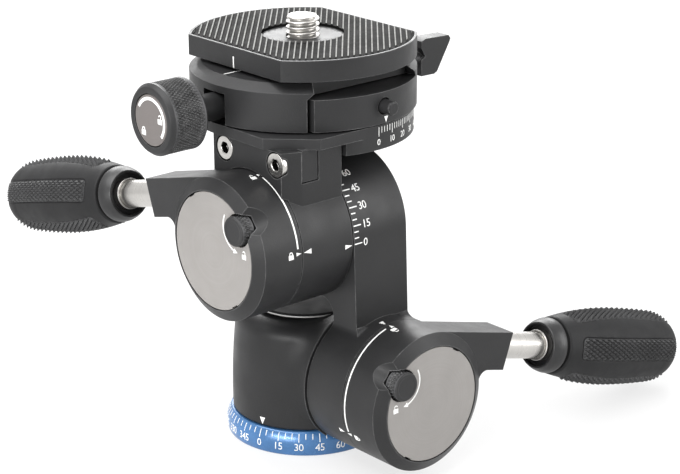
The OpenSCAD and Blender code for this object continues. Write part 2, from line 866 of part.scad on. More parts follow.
module clamp_knob_cap() {
  color("#9b9894") along_left(0, knob_z) translate([0, 0, knob_end - 1.3])
    cylinder(r = knob_cap_d / 2, h = 1.2);
}

module safety_pin() {
  color("#1f2022") translate([pin_x, -pin_in, pin_z]) rotate([90, 0, 0]) rotate_extrude() polygon([
    [0, 0], [pin_d / 2, 0], [pin_d / 2, 9.9], [pin_d / 2 - 0.4, 10.3], [0, 10.3]
  ]);
}

// thumb lever on a screw that locks the panning clamp
module pan_lever() {
  at = clamp_d / 2 + 10.5;
  color("#1f2022") {
    translate([lever_in, 0, pin_z]) rotate([0, 90, 0]) cylinder(r = lock_r, h = at + 2 - lever_in);
    difference() {
      translate([0, 1.5, pin_z]) rotate([90, 0, 0]) linear_extrude(5) polygon([
        [at, -4.7], [at + 5.3, -4.8], [at + 6.5, -4.2], [at + 11.4, 4], [at + 11.9, 5.1],
        [at + 11.1, 6.2], [at + 1.7, 6.6], [at, 5.9]
      ]);
      translate([at - 3.6, -3.6, pin_z + 5]) rotate([0, -30, 0]) cube([5, 8, 12], center = true);
    }
  }
}

module plate_outline(inset) {
  intersection() {
    circle(r = plate_d / 2 - inset);
    square([plate_flats - 2 * inset, 100], center = true);
  }
}

module quick_plate() {
  top_w = hook_in - tail_gap;
  low_w = jaw_in - run_gap * (jaw_in - hook_in) / jaw_rise - tail_gap;
  color("#1b1c1e") difference() {
    union() {
      translate([0, 0, plate_z]) linear_extrude(plate_t) plate_outline(0);
      intersection() {
        rotate([90, 0, 0]) translate([0, 0, -tail_len / 2]) linear_extrude(tail_len) polygon([
          [-low_w, floor_z + run_gap], [low_w, floor_z + run_gap], [top_w, jaw_z],
          [top_w, plate_z + 0.1], [-top_w, plate_z + 0.1], [-top_w, jaw_z]
        ]);
        translate([0, 0, floor_z]) cylinder(r = plate_d / 2 - 3, h = 20);
      }
    }
    translate([0, 0, floor_z - 1]) cylinder(r = screw_r + fit_gap, h = 40);
    translate([0, 0, floor_z - 1]) cylinder(r = screw_head_r + run_gap, h = 3.6);
    translate([0, 0, rubber_seat]) linear_extrude(5) plate_outline(rubber_inset);
  }
}

module plate_pad() {
  color("#3a3a3b") difference() {
    translate([0, 0, rubber_seat]) linear_extrude(rubber_t + 0.6) plate_outline(rubber_inset);
    translate([0, 0, rubber_seat - 1]) cylinder(r = rubber_hole_d / 2, h = 5);
  }
}

// captive camera screw: slotted head under the plate, relieved neck, threaded end
module camera_screw() {
  top = rubber_z + rubber_t + screw_h;
  color("#d4d2ce") difference() {
    rotate_extrude() polygon([
      [0, floor_z + 0.8], [screw_head_r, floor_z + 0.8], [screw_head_r, floor_z + 2.3],
      [screw_neck_r, floor_z + 2.3], [screw_neck_r, rubber_seat + 0.2], [screw_r, rubber_seat + 0.2],
      [screw_r, top - 0.8], [screw_r - 0.8, top], [0, top]
    ]);
    translate([-20, -0.9, floor_z]) cube([40, 1.8, 1.7]);
  }
}

base_ring();
base_core();
thread_insert();
pan_spindle();
pan_washer();
pan_nut();
pan_housing();
pan_cap();
pan_lock_knob();
lower_axle();
bracket();
lower_bush();
upper_axle();
lower_drum();
lower_disc();
lower_lock_nut();
lower_shaft();
lower_collar();
lower_grip();
lower_pads();
lower_pull();
tilt_hub();
upper_bush();
tilt_table();
table_bolt_rear();
table_bolt_front();
table_pivot();
upper_drum();
upper_disc();
upper_lock_nut();
upper_shaft();
upper_collar();
upper_grip();
upper_pads();
upper_pull();
clamp_body();
jaw_rod_a();
jaw_rod_b();
clamp_jaw();
clamp_screw();
clamp_knob();
clamp_knob_cap();
safety_pin();
pan_lever();
quick_plate();
plate_pad();
camera_screw();
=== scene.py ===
"""Looks of a four-way tripod head: finishes, knurls, pads, thread, scales and a studio stage.

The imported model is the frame. Every piece below is placed in that frame, in metres.
Lengths inside the shape functions are millimetres and are scaled when a mesh is made.
"""
import json
import math

import bmesh
import bpy
import numpy as np
from bpy.props import FloatProperty, FloatVectorProperty, IntProperty, PointerProperty
from bpy.types import Operator, Panel, PropertyGroup
from mathutils import Matrix, Vector


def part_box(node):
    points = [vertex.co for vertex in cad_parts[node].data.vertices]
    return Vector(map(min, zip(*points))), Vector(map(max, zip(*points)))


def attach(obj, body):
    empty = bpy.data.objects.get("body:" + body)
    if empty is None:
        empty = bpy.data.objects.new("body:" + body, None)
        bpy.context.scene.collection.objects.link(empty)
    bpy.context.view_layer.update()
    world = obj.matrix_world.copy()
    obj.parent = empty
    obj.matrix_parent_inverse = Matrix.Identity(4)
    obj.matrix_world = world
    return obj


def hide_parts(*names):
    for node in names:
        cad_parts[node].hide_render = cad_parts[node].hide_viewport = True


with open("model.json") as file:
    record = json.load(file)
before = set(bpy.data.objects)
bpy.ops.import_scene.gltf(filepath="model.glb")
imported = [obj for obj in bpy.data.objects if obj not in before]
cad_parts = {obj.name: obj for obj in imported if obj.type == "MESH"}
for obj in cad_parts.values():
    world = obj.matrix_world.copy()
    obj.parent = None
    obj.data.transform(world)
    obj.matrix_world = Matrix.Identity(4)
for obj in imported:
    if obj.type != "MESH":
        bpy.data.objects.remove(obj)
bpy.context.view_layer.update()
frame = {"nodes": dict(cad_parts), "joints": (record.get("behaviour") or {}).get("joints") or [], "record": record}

bl_info = {
    "name": "Four-way tripod head",
    "version": (1, 0, 0),
    "blender": (4, 5, 0),
    "location": "View3D > Sidebar > Tripod head",
    "description": "Finishes, fine shapes, scales and stage for a packed tripod head",
    "category": "Object",
}

MM = 0.001
NODES = frame["nodes"]
JOINTS = {joint["name"]: joint for joint in frame["joints"]}


def axes(origin, x_axis, y_axis, z_axis):
    """Matrix of a local frame, in millimetres."""
    columns = Matrix((x_axis, y_axis, z_axis)).transposed()
    return Matrix.Translation(origin) @ columns.to_4x4()


def joint_place(name):
    """Point on a joint's axis, in millimetres."""
    return Vector(JOINTS[name]["pos_m"]) / MM


def low(node):
    """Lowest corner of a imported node, in millimetres."""
    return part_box(node)[0] / MM


def high(node):
    """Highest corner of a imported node, in millimetres."""
    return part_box(node)[1] / MM


SIDE_TILT = joint_place("side_tilt")
FRONT_TILT = joint_place("front_tilt")
CLAMP_AXIS = joint_place("clamp_knob")
PAN_LOCK = joint_place("pan_lock")

# local z runs along an axis: towards the lock drum, up, or towards the knob
LOWER = axes((0, 0, SIDE_TILT.z), (1, 0, 0), (0, 0, 1), (0, -1, 0))
UPPER = axes((0, FRONT_TILT.y, FRONT_TILT.z), (0, -1, 0), (0, 0, 1), (-1, 0, 0))
PAN = axes((0, 0, 0), (-1, 0, 0), (0, -1, 0), (0, 0, 1))
KNOB = axes((0, CLAMP_AXIS.y, CLAMP_AXIS.z), (0, -1, 0), (0, 0, 1), (-1, 0, 0))
PAN_KNOB = axes((0, PAN_LOCK.y, PAN_LOCK.z), (0, 1, 0), (0, 0, 1), (1, 0, 0))

LOWER_DRUM_AT = -high("lower_drum").y
UPPER_DRUM_AT = -high("upper_drum").x
DRUM_RADIUS = SIDE_TILT.z - low("lower_drum").z
RUN_GAP = 0.3
CAP_THICKNESS = 1.1
CAP_EDGE_DEPTH = 0.25
CAP_EDGE_PROUD = 0.03
CAP_EDGE_HEIGHT = 0.45
CAP_EDGE_CORNER = 0.1
FLARE_SEAM_DROP = 0.4

# handles: slope below the horizontal, height over the drum's axis and place along it
LOWER_DROP = 15.4
UPPER_DROP = 14.4
HANDLE_RISE = 15.05
HANDLE_AT = 7.25
SHAFT_RADIUS = 4.0
COLLAR_AT = 47.6
GRIP_AT = 52.6
GRIP_LENGTH = 54.6
GRIP_RADIUS = 11.4
GRIP_FRONT_RADIUS = 8.4
GRIP_BELLY = 0.46
GRIP_TAIL = 0.79
GRIP_TAIL_DROP = 0.6
PAD_START = 5.6
PAD_END = 3.8
PAD_LENGTH = GRIP_LENGTH - PAD_END - PAD_START
PAD_WIDTH = 6.5
PAD_HEIGHT = 0.8
PAD_CORNER = 1.6
PAD_COUNT = 5
LOWER_PAD_TURN = 27.0
UPPER_PAD_TURN = 18.0
PULL_REACH = 14.4
PULL_ANGLE = 38.0
PULL_RADIUS = 4.15
PULL_HEIGHT = 4.4


def length_property(name, description, default, least, most):
    """A length, given in millimetres."""
    return FloatProperty(
        name=name, description=description, default=default * MM, min=least * MM, max=most * MM,
        precision=6, unit="LENGTH", subtype="DISTANCE")


def angle_property(name, description, default):
    """An angle, given in degrees."""
    return FloatProperty(
        name=name, description=description, default=math.radians(default), subtype="ANGLE", unit="ROTATION")


def power_property(name, description, default):
    """The power of a lamp, in watts."""
    return FloatProperty(name=name, description=description, default=default, min=0.0, unit="POWER")


def colour_property(name, description, default):
    """A linear colour that the panel shows as a swatch."""
    return FloatVectorProperty(
        name=name, description=description, default=default, size=3, min=0.0, max=1.0, subtype="COLOR")


class HeadSizes(PropertyGroup):
    """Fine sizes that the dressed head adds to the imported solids."""

    edge_round: length_property(
        "Edge round", "Width of the broken edges on milled and turned parts", 0.28, 0.05, 1.0)
    housing_fillet: length_property(
        "Housing fillet", "Radius of the blend between the housing and its flare", 4.5, 1.0, 8.0)
    mark_height: length_property(
        "Mark height", "How far the printed marks stand over their surface", 0.03, 0.01, 0.1)
    mark_cell: length_property(
        "Mark cell", "Size of the pieces that let a mark follow a curved surface", 0.5, 0.2, 2.0)
    mark_sink: length_property(
        "Mark depth", "How far the printed marks reach into their surface", 0.06, 0.02, 0.2)
    tick_width: length_property(
        "Tick width", "Width of a line on the scales", 0.32, 0.1, 1.0)
    digit_height: length_property(
        "Digit height", "Height of the numbers on the scales", 2.2, 1.0, 4.0)
    knob_knurl: length_property(
        "Knob knurl", "Pitch of the diamond knurl on the knobs", 1.0, 0.5, 2.0)
    pull_knurl: length_property(
        "Pull knurl", "Pitch of the diamond knurl on the pull knobs", 1.05, 0.4, 2.0)
    knurl_stretch: FloatProperty(
        name="Knurl stretch", description="Length of a knurl's diamond over its width",
        default=1.7, min=1.0, max=2.5)
    knurl_depth: length_property(
        "Knurl depth", "Depth of the diamond knurl on the knobs", 0.45, 0.1, 0.6)
    pad_pitch: length_property(
        "Pad pitch", "Pitch of the raised points along the grip pads", 2.47, 1.0, 4.0)
    pad_pitch_across: length_property(
        "Pad pitch across", "Pitch of the raised points across the grip pads", 1.3, 0.6, 3.0)
    pad_depth: length_property(
        "Pad depth", "Depth of the valleys on the grip pads", 1.1, 0.1, 1.2)
    pad_groove: length_property(
        "Pad groove", "Depth of the groove that frames a pad in the grip", 0.4, 0.0, 1.0)
    rib_pitch: length_property(
        "Rib pitch", "Distance between the ribs of the plate's rubber pad", 1.63, 0.8, 4.0)
    rib_height: length_property(
        "Rib height", "Height of the ribs over the plate's rubber pad", 0.38, 0.1, 0.4)
    rib_angle: angle_property(
        "Rib angle", "Direction of the ribs, from the head's right towards its back", 48.5)
    digit_steps: IntProperty(
        name="Digit steps", description="Curve steps in the numbers of the scales", default=3, min=1, max=8)
    thread_pitch: length_property(
        "Thread pitch", "Pitch of the camera screw's thread", 1.5875, 0.5, 2.0)


class HeadColours(PropertyGroup):
    """Colours of the head's finishes, linear."""

    body: colour_property("Body", "Black anodised body", (0.0190, 0.0190, 0.0196))
    cap: colour_property("Pan cap", "Matt cap on the pan housing", (0.0100, 0.0100, 0.0104))
    ring: colour_property("Ring", "Blue anodised base ring", (0.058, 0.168, 0.370))
    disc: colour_property("Disc", "Warm grey face discs", (0.238, 0.226, 0.215))
    knob_cap: colour_property("Knob cap", "Warm grey cap of the clamp knob", (0.120, 0.107, 0.102))
    collar: colour_property("Collar", "Dark grey collars", (0.009, 0.009, 0.0095))
    steel: colour_property("Steel", "Bright steel of shafts and screws", (0.560, 0.545, 0.522))
    bronze: colour_property("Bronze", "Bushes and lock nuts", (0.430, 0.270, 0.085))
    grip: colour_property("Grip", "Moulded grips", (0.0105, 0.0105, 0.011))
    pad: colour_property("Pad", "Rubber grip pads", (0.045, 0.045, 0.046))
    # Painted shade: black rings that stand for the shade in the seams.
    seam: colour_property("Seam", "Black rings in the seams", (0.0025, 0.0025, 0.0025))
    rubber: colour_property("Plate rubber", "Rubber pad of the plate", (0.0095, 0.0095, 0.0092))
    # Painted highlight: colour of the pale ring that stands for the light on the pan cap's edge.
    bare_edge: colour_property("Bare edge", "Turned edge of the pan cap", (0.420, 0.418, 0.412))
    mark: colour_property("Marks", "Printed marks", (0.860, 0.860, 0.845))
    floor: colour_property("Floor", "Studio floor", (0.900, 0.900, 0.900))


class StageSettings(PropertyGroup):
    """Camera and lights of the studio."""

    azimuth: angle_property(
        "Azimuth", "Direction the camera stands in, from the front towards the right", -39.84)
    elevation: angle_property("Elevation", "Height of the camera over the horizon", 19.35)
    roll: angle_property("Roll", "Roll of the camera", -0.60)
    distance: FloatProperty(
        name="Distance", description="Distance of the camera from its target",
        default=0.6006, min=0.2, unit="LENGTH", subtype="DISTANCE")
    target_height: FloatProperty(
        name="Target height", description="Height of the point that the camera circles",
        default=0.060, unit="LENGTH", subtype="DISTANCE")
    lens: FloatProperty(
        name="Lens", description="Focal length on a 36 mm wide sensor", default=108.36, min=20.0)
    shift_x: FloatProperty(name="Shift X", description="Sideways shift of the lens", default=0.0517)
    shift_y: FloatProperty(name="Shift Y", description="Upward shift of the lens", default=-0.0021)
    key_power: power_property("Key light", "Power of the large lamp over the head", 11.0)
    side_power: power_property("Side light", "Power of the lamp in front on the right", 4.4)
    rim_power: power_property("Rim light", "Power of the lamp behind the head", 8.0)
    fill_power: power_property("Fill light", "Power of the low lamp beside the camera", 2.0)
    strip_power: power_property("Strip light", "Power of the narrow lamp that shines in the base ring", 1.1)
    ambient: FloatProperty(
        name="Ambient", description="Strength of the world's even light", default=0.18, min=0.0)


def sizes():
    """Fine sizes of this scene."""
    return bpy.context.scene.head_sizes


def colours():
    """Colours of this scene."""
    return bpy.context.scene.head_colours


def stage():
    """Stage settings of this scene."""
    return bpy.context.scene.head_stage


def in_mm(length):
    """A property's length in millimetres."""
    return length / MM


# finishes

class Tree:
    """A node tree, with short calls that build its nodes."""

    def __init__(self, tree):
        self.nodes = tree.nodes
        self.links = tree.links

    def feed(self, target, item):
        """Links a socket to an input, or sets the input's value."""
        if isinstance(item, bpy.types.NodeSocket):
            self.links.new(item, target)
        else:
            target.default_value = item

    def node(self, kind, inputs=(), **settings):
        """A new node with its settings, its inputs fed by sockets or values."""
        made = self.nodes.new("ShaderNode" + kind)
        for name, value in settings.items():
            setattr(made, name, value)
        for name, item in dict(inputs).items():
            self.feed(made.inputs[name], item)
        return made

    def math(self, operation, first, second=0.0):
        """One step of arithmetic on values or sockets."""
        return self.node("Math", {0: first, 1: second}, operation=operation).outputs["Value"]

    def seen(self):
        """Whether a ray comes from the camera, a reflection or a clear surface."""
        path = self.node("LightPath").outputs
        seen = self.math("MAXIMUM", path["Is Camera Ray"], path["Is Glossy Ray"])
        return self.math("MAXIMUM", seen, path["Is Transmission Ray"])


class Surface(Tree):
    """A material being built, with short calls for the nodes that the finishes share."""

    def __init__(self, name):
        self.material = bpy.data.materials.new(name)
        self.material.use_nodes = True
        super().__init__(self.material.node_tree)
        self.shader = self.nodes["Principled BSDF"]
        self.place = self.node("TexCoord").outputs["Object"]

    def noise(self, scale, detail=2.0, place=None):
        """Noise at a scale in waves per metre."""
        inputs = {"Scale": scale, "Detail": detail, "Vector": place or self.place}
        return self.node("TexNoise", inputs).outputs["Fac"]

    def span(self, value, low_out, high_out, low_in=0.3, high_in=0.7):
        """A value mapped from one range to another."""
        inputs = {"Value": value, "From Min": low_in, "From Max": high_in,
                  "To Min": low_out, "To Max": high_out}
        return self.node("MapRange", inputs).outputs["Result"]

    def mix(self, factor, first, second):
        """Two colours mixed by a factor."""
        pair = [item if isinstance(item, bpy.types.NodeSocket) else (*item, 1.0) for item in (first, second)]
        return self.node("Mix", {0: factor, 6: pair[0], 7: pair[1]}, data_type="RGBA").outputs[2]

    def bump(self, height, depth):
        """Bump of a depth in metres."""
        inputs = {"Strength": 1.0, "Distance": depth, "Height": height}
        return self.node("Bump", inputs).outputs["Normal"]

    def worn_edges(self, radius):
        """Mask of the edges, from the change of a rounded normal, for edges painted pale as wear and painted
        highlight.
        """
        rounded = self.node("Bevel", {"Radius": radius}, samples=4).outputs["Normal"]
        plain = self.node("NewGeometry").outputs["Normal"]
        dot = self.node("VectorMath", {0: rounded, 1: plain}, operation="DOT_PRODUCT")
        return self.span(dot.outputs["Value"], 1.0, 0.0, 0.82, 0.99)

    def hollows(self, width):
        """Mask that falls to nought in sockets, grooves and other hollows of a width, where painted shade goes."""
        open_share = self.node("AmbientOcclusion", {"Distance": width}, samples=6).outputs["AO"]
        return self.span(open_share, 0.0, 1.0, 0.40, 0.80)

    def turned(self, matrix):
        """Radius and height round an axis, as the coordinates of lathe marks."""
        back = matrix.inverted()
        inputs = {"Vector": self.place, "Location": back.to_translation() * MM,
                  "Rotation": back.to_euler("XYZ")}
        local = self.node("Mapping", inputs).outputs["Vector"]
        parts = self.node("SeparateXYZ", {"Vector": local}).outputs
        squares = self.math("ADD", self.math("POWER", parts["X"], 2.0), self.math("POWER", parts["Y"], 2.0))
        return self.node("CombineXYZ", {"X": self.math("SQRT", squares), "Y": parts["Z"]}).outputs["Vector"]

    def finish(self, colour, roughness, normal=None, metallic=0.0, specular=0.5, coat=0.0):
        """Feeds the shader and returns the material."""
        inputs = {"Base Color": colour, "Roughness": roughness, "Metallic": metallic,
                  "Specular IOR Level": specular, "Coat Weight": coat, "Coat Roughness": COAT_ROUGHNESS}
        if normal is not None:
            inputs["Normal"] = normal
        for name, item in inputs.items():
            self.feed(self.shader.inputs[name], item)
        return self.material


def shade(colour, factor):
    """A colour made lighter or darker."""
    return tuple(min(1.0, part * factor) for part in colour)


COAT_ROUGHNESS = 0.15
# Pale colour of the edges: partly wear, partly painted highlight.
EDGE_WEAR_HIGHLIGHT_COLOUR = (0.30, 0.30, 0.30)
EDGE_WEAR_HIGHLIGHT_RADIUS = 0.00035
CREST = "crest"
# Painted highlight colour of the knurl crests.
KNURL_CREST_HIGHLIGHT = (0.085, 0.085, 0.088)
BLAST_GRAIN = 2600.0
BLAST_DEPTH = 0.00003


def blasted_metal(name, colour, rough, edge_wear_highlight, specular, metallic=0.0, coat=0.0, knurled=False):
    """Bead-blasted and anodised metal: fine grain, soft blotches, edges painted pale as wear and painted
    highlight, and on knurls painted shade in the valleys and a painted highlight on the crests.
    """
    skin = Surface(name)
    blotch = skin.span(skin.noise(55.0, 3.0), 0.0, 1.0)
    tone = skin.mix(blotch, shade(colour, 0.86), shade(colour, 1.16))
    fleck = skin.span(skin.noise(BLAST_GRAIN, 2.0), 0.0, 0.35, 0.55, 0.75)
    tone = skin.mix(fleck, tone, shade(colour, 1.5))
    if knurled:
        crest = skin.node("Attribute", attribute_name=CREST).outputs["Fac"]
        # Painted shade in the knurl's valleys, then a painted highlight on its crests.
        tone = skin.mix(skin.span(crest, 1.0, 0.0, 0.05, 0.45), tone, shade(colour, 0.25))
        tone = skin.mix(skin.span(crest, 0.0, 0.8, 0.55, 1.0), tone, KNURL_CREST_HIGHLIGHT)
    # Edges painted pale: partly wear, partly painted highlight.
    edge = skin.math("MULTIPLY", skin.worn_edges(EDGE_WEAR_HIGHLIGHT_RADIUS), skin.span(skin.noise(420.0), 0.15, edge_wear_highlight))
    tone = skin.mix(edge, tone, EDGE_WEAR_HIGHLIGHT_COLOUR)
    gloss = skin.span(skin.noise(160.0, 3.0), rough - 0.05, rough + 0.06)
    grain = skin.bump(skin.noise(BLAST_GRAIN, 3.0), BLAST_DEPTH)
    return skin.finish(tone, gloss, grain, metallic, specular, coat)


TURNING = 0.000006
FINE_TURNING = 0.000003


def turned_metal(name, colour, matrix, rough, metallic=0.0, depth=TURNING, streak=0.10, socket_shade=0.0):
    """Metal turned on a lathe: fine rings round its axis, with painted shade in sockets and other hollows up to a
    width.
    """
    skin = Surface(name)
    rings = skin.turned(matrix)
    line = skin.noise(3800.0, 2.0, rings)
    tone = skin.mix(skin.span(line, 0.0, 1.0), shade(colour, 1.0 - streak), shade(colour, 1.0 + streak))
    cloud = skin.span(skin.noise(140.0, 3.0), 0.0, 0.5)
    tone = skin.mix(cloud, tone, shade(colour, 0.86))
    if socket_shade:
        # Painted shade in sockets and other hollows.
        tone = skin.mix(skin.hollows(socket_shade), shade(colour, 0.06), tone)
    gloss = skin.span(skin.noise(1500.0, 2.0, rings), rough - 0.05, rough + 0.07)
    return skin.finish(tone, gloss, skin.bump(line, depth), metallic)


def moulded(name, colour, rough, grain, depth, specular):
    """Moulded plastic or rubber with a fine matt grain."""
    skin = Surface(name)
    blotch = skin.span(skin.noise(90.0, 3.0), 0.0, 1.0)
    tone = skin.mix(blotch, shade(colour, 0.88), shade(colour, 1.14))
    dust = skin.span(skin.noise(900.0, 4.0), 0.0, 0.30, 0.55, 0.80)
    tone = skin.mix(dust, tone, shade(colour, 1.7))
    gloss = skin.span(skin.noise(240.0, 2.0), rough - 0.06, rough + 0.06)
    return skin.finish(tone, gloss, skin.bump(skin.noise(grain, 3.0), depth), specular=specular)


# Painted highlight on the rib tops: where it starts and ends below the top, and how much lighter it is.
RIB_HIGHLIGHT_START = 0.00014
RIB_HIGHLIGHT_END = 0.00003
RIB_HIGHLIGHT_FACTOR = 32.0


def ribbed_rubber(name, colour, rough, top):
    """Rubber whose rib tops are painted pale as a highlight: the mask follows the height over the pad."""
    skin = Surface(name)
    height = skin.node("SeparateXYZ", {"Vector": skin.place}).outputs["Z"]
    crest = skin.span(height, 0.0, 1.0, top - RIB_HIGHLIGHT_START, top - RIB_HIGHLIGHT_END)
    blotch = skin.span(skin.noise(120.0, 3.0), 0.0, 1.0)
    tone = skin.mix(blotch, shade(colour, 0.85), shade(colour, 1.15))
    fleck = skin.span(skin.noise(3000.0, 3.0), 0.0, 0.5, 0.5, 0.8)
    tone = skin.mix(fleck, tone, shade(colour, 1.6))
    # Painted highlight on the rib tops.
    rib_highlight = skin.math("MULTIPLY", crest, skin.span(skin.noise(500.0, 3.0), 0.65, 1.0))
    tone = skin.mix(rib_highlight, tone, shade(colour, RIB_HIGHLIGHT_FACTOR))
    gloss = skin.span(skin.noise(300.0, 2.0), rough - 0.06, rough + 0.06)
    grain = skin.bump(skin.noise(4200.0, 3.0), 0.00002)
    return skin.finish(tone, gloss, grain, specular=0.02)


def printed(name, colour):
    """Printed paint with slight unevenness."""
    skin = Surface(name)
    tone = skin.mix(skin.span(skin.noise(1500.0, 3.0), 0.0, 1.0), shade(colour, 0.93), shade(colour, 1.03))
    gloss = skin.span(skin.noise(700.0), 0.42, 0.58)
    return skin.finish(tone, gloss, skin.bump(skin.noise(6000.0), 0.000004))


def material(name):
    """A finish by name."""
    found = bpy.data.materials.get(name)
    if found is None:
        raise RuntimeError(f"finish {name} has not been made yet")
    return found


# meshes

def new_object(name, data):
    """A new object in the scene."""
    obj = bpy.data.objects.new(name, data)
    bpy.context.scene.collection.objects.link(obj)
    return obj


def make_mesh(name, points, faces):
    """Mesh object from points in millimetres, with its faces turned outwards."""
    mesh = bpy.data.meshes.new(name)
    mesh.from_pydata((np.asarray(points, float) * MM).tolist(), [], faces)
    work = bmesh.new()
    work.from_mesh(mesh)
    bmesh.ops.recalc_face_normals(work, faces=work.faces)
    work.to_mesh(mesh)
    work.free()
    mesh.shade_smooth()
    return new_object(name, mesh)


def settle(obj, body, finish, stands_for=()):
    """Gives a new piece its finish, the body it rides on and the nodes it stands for."""
    obj.data.materials.append(material(finish))
    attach(obj, body)
    if stands_for:
        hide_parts(*stands_for)
    return obj


def modify(obj, name, kind, **settings):
    """Adds a modifier with its settings."""
    modifier = obj.modifiers.new(name, kind)
    for key, value in settings.items():
        setattr(modifier, key, value)


def even_normals(obj):
    """Keeps flat faces flat beside small rounds."""
    modify(obj, "Even normals", "WEIGHTED_NORMAL", keep_sharp=False, weight=60)


def placed(points, matrix):
    """Points moved from a local frame to the frame of the head."""
    table = np.array(matrix)
    return np.asarray(points, float) @ table[:3, :3].T + table[:3, 3]


def revolve(rings, count, knurl=()):
    """Skin round local z from rings of (radius, height); knurl names the rings that are faceted."""
    turn = np.linspace(0.0, 2.0 * math.pi, count, endpoint=False)
    points = []
    faces = []
    last = None
    for index, (radius, height) in enumerate(rings):
        start = len(points)
        if np.isscalar(radius) and radius == 0.0:
            points.append((0.0, 0.0, height))
            ring = [start]
        else:
            reach = np.broadcast_to(radius, count)
            points.extend(zip(reach * np.cos(turn), reach * np.sin(turn), np.broadcast_to(height, count)))
            ring = list(range(start, start + count))
        if index in knurl:
            faces.extend(facets(last, ring, index - knurl.start))
        elif last is not None:
            faces.extend(bridge(last, ring))
        last = ring
    return points, faces


def bridge(first, second):
    """Faces between two rings, or between a ring and a point."""
    if len(first) == 1 and len(second) == 1:
        return []
    count = max(len(first), len(second))
    pairs = [(i, (i + 1) % count) for i in range(count)]
    if len(first) == 1:
        return [(first[0], second[j], second[i]) for i, j in pairs]
    if len(second) == 1:
        return [(first[i], first[j], second[0]) for i, j in pairs]
    return [(first[i], first[j], second[j], second[i]) for i, j in pairs]


def facets(first, second, row):
    """Faces between two rings of a knurl, split along its valleys."""
    count = len(first)
    faces = []
    for i in range(count):
        j = (i + 1) % count
        if (i + row) % 2 == 0:
            faces += [(first[i], first[j], second[j]), (first[i], second[j], second[i])]
        else:
            faces += [(first[i], first[j], second[i]), (first[j], second[j], second[i])]
    return faces


def soften(profile, radius, steps=3):
    """A half profile whose corners are rounded."""
    out = [profile[0]]
    for before, corner, after in zip(profile, profile[1:], profile[2:]):
        here = Vector(corner)
        back = Vector(before) - here
        ahead = Vector(after) - here
        reach = min(radius, back.length * 0.45, ahead.length * 0.45)
        start = here + back.normalized() * reach
        end = here + ahead.normalized() * reach
        for step in range(steps + 1):
            share = step / steps
            point = start.lerp(here, share).lerp(here.lerp(end, share), share)
            out.append((point.x, point.y))
    out.append(profile[-1])
    return out


HOOP_TURNS = 160
HOOP_CLOSE = 0.02


def hoop(name, matrix, inner, outer, start, end, corner=0.2):
    """A closed ring round a local axis, with rounded edges."""
    corners = [(inner, end), (inner, start), (outer, start), (outer, end), (inner + HOOP_CLOSE, end)]
    points, faces = revolve(soften(corners, corner), HOOP_TURNS)
    faces += bridge(list(range(len(points) - HOOP_TURNS, len(points))), list(range(HOOP_TURNS)))
    return make_mesh(name, placed(points, matrix), faces)


def diamond(along, across):
    """Height from 0 to 1 of a diamond knurl at two lengths on the surface, counted in pitches."""
    first = np.abs((along + across) % 1.0 - 0.5) * 2.0
    second = np.abs((along - across) % 1.0 - 0.5) * 2.0
    return 1.0 - np.maximum(first, second)


def knurled_rings(radius, start, end, pitch, depth, count):
    """Rings of a knurled band, half a diamond apart; the knurl runs out at both ends."""
    rows = 2 * round((end - start) / (pitch * sizes().knurl_stretch))
    turn = np.arange(count)
    rings = []
    for row in range(rows + 1):
        height = start + (end - start) * row / rows
        ends = min(1.0, row / 2.0, (rows - row) / 2.0)
        is_valley = (turn + row) % 2 == 0
        rings.append((radius - depth * ends * is_valley, height))
    return rings


def knurl_count(radius, pitch):
    """Points round a knurled band, two for each diamond."""
    return 2 * round(2.0 * math.pi * radius / pitch)


def knurled(name, matrix, behind, ahead, radius, band, pitch, depth):
    """A turned piece with a knurled band between two plain stretches of its profile."""
    count = knurl_count(radius, pitch)
    rings = knurled_rings(radius, *band, pitch, depth, count)
    cut = range(len(behind) + 1, len(behind) + len(rings))
    points, faces = revolve(behind + rings + ahead, count, cut)
    obj = make_mesh(name, placed(points, matrix), faces)
    mark_crests(obj, points, radius, depth, *band)
    return obj


PLAIN_CREST = 0.5


def mark_crests(obj, points, radius, depth, start, end):
    """Stores how high each point of a knurled band stands, for the painted shade and highlight of its finish, and
    facets the band.
    """
    x, y, z = np.asarray(points, float).T
    height = np.clip((np.hypot(x, y) - radius + depth) / depth, 0.0, 1.0)
    height[(z < start) | (z > end)] = PLAIN_CREST
    obj.data.attributes.new(CREST, "FLOAT", "POINT").data.foreach_set("value", height)
    is_cut = (z > start) & (z < end)
    for face in obj.data.polygons:
        face.use_smooth = not all(is_cut[index] for index in face.vertices)


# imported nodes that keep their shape

FINISH_OF_SLOT = {
    "black_body": "Black anodised",
    "blue_ring": "Blue anodised",
    "grey_disc": "Warm grey",
    "dark_collar": "Dark satin",
    "steel": "Bright steel",
    "bronze": "Bronze",
    "grip": "Moulded grip",
    "grip_pad": "Pad rubber",
    "plate_rubber": "Ribbed rubber",
}
FINISH_OF_NODE = {
    "pan_cap": "Matt cap",
    "lower_disc": "Lower disc",
    "upper_disc": "Upper disc",
    "clamp_knob_cap": "Knob cap",
    "lower_collar": "Lower collar",
    "upper_collar": "Upper collar",
    "lower_shaft": "Lower shaft",
    "upper_shaft": "Upper shaft",
}


def slot_of(node):
    """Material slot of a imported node."""
    for entry in frame["record"]["subparts"]:
        if entry["node"] == node:
            return entry["material_slot"]
    raise RuntimeError(f"the record has no sub-part {node}")


WELD_REACH = 0.000002
FLAT_ANGLE = math.radians(0.6)
EDGE_ANGLE = math.radians(28.0)


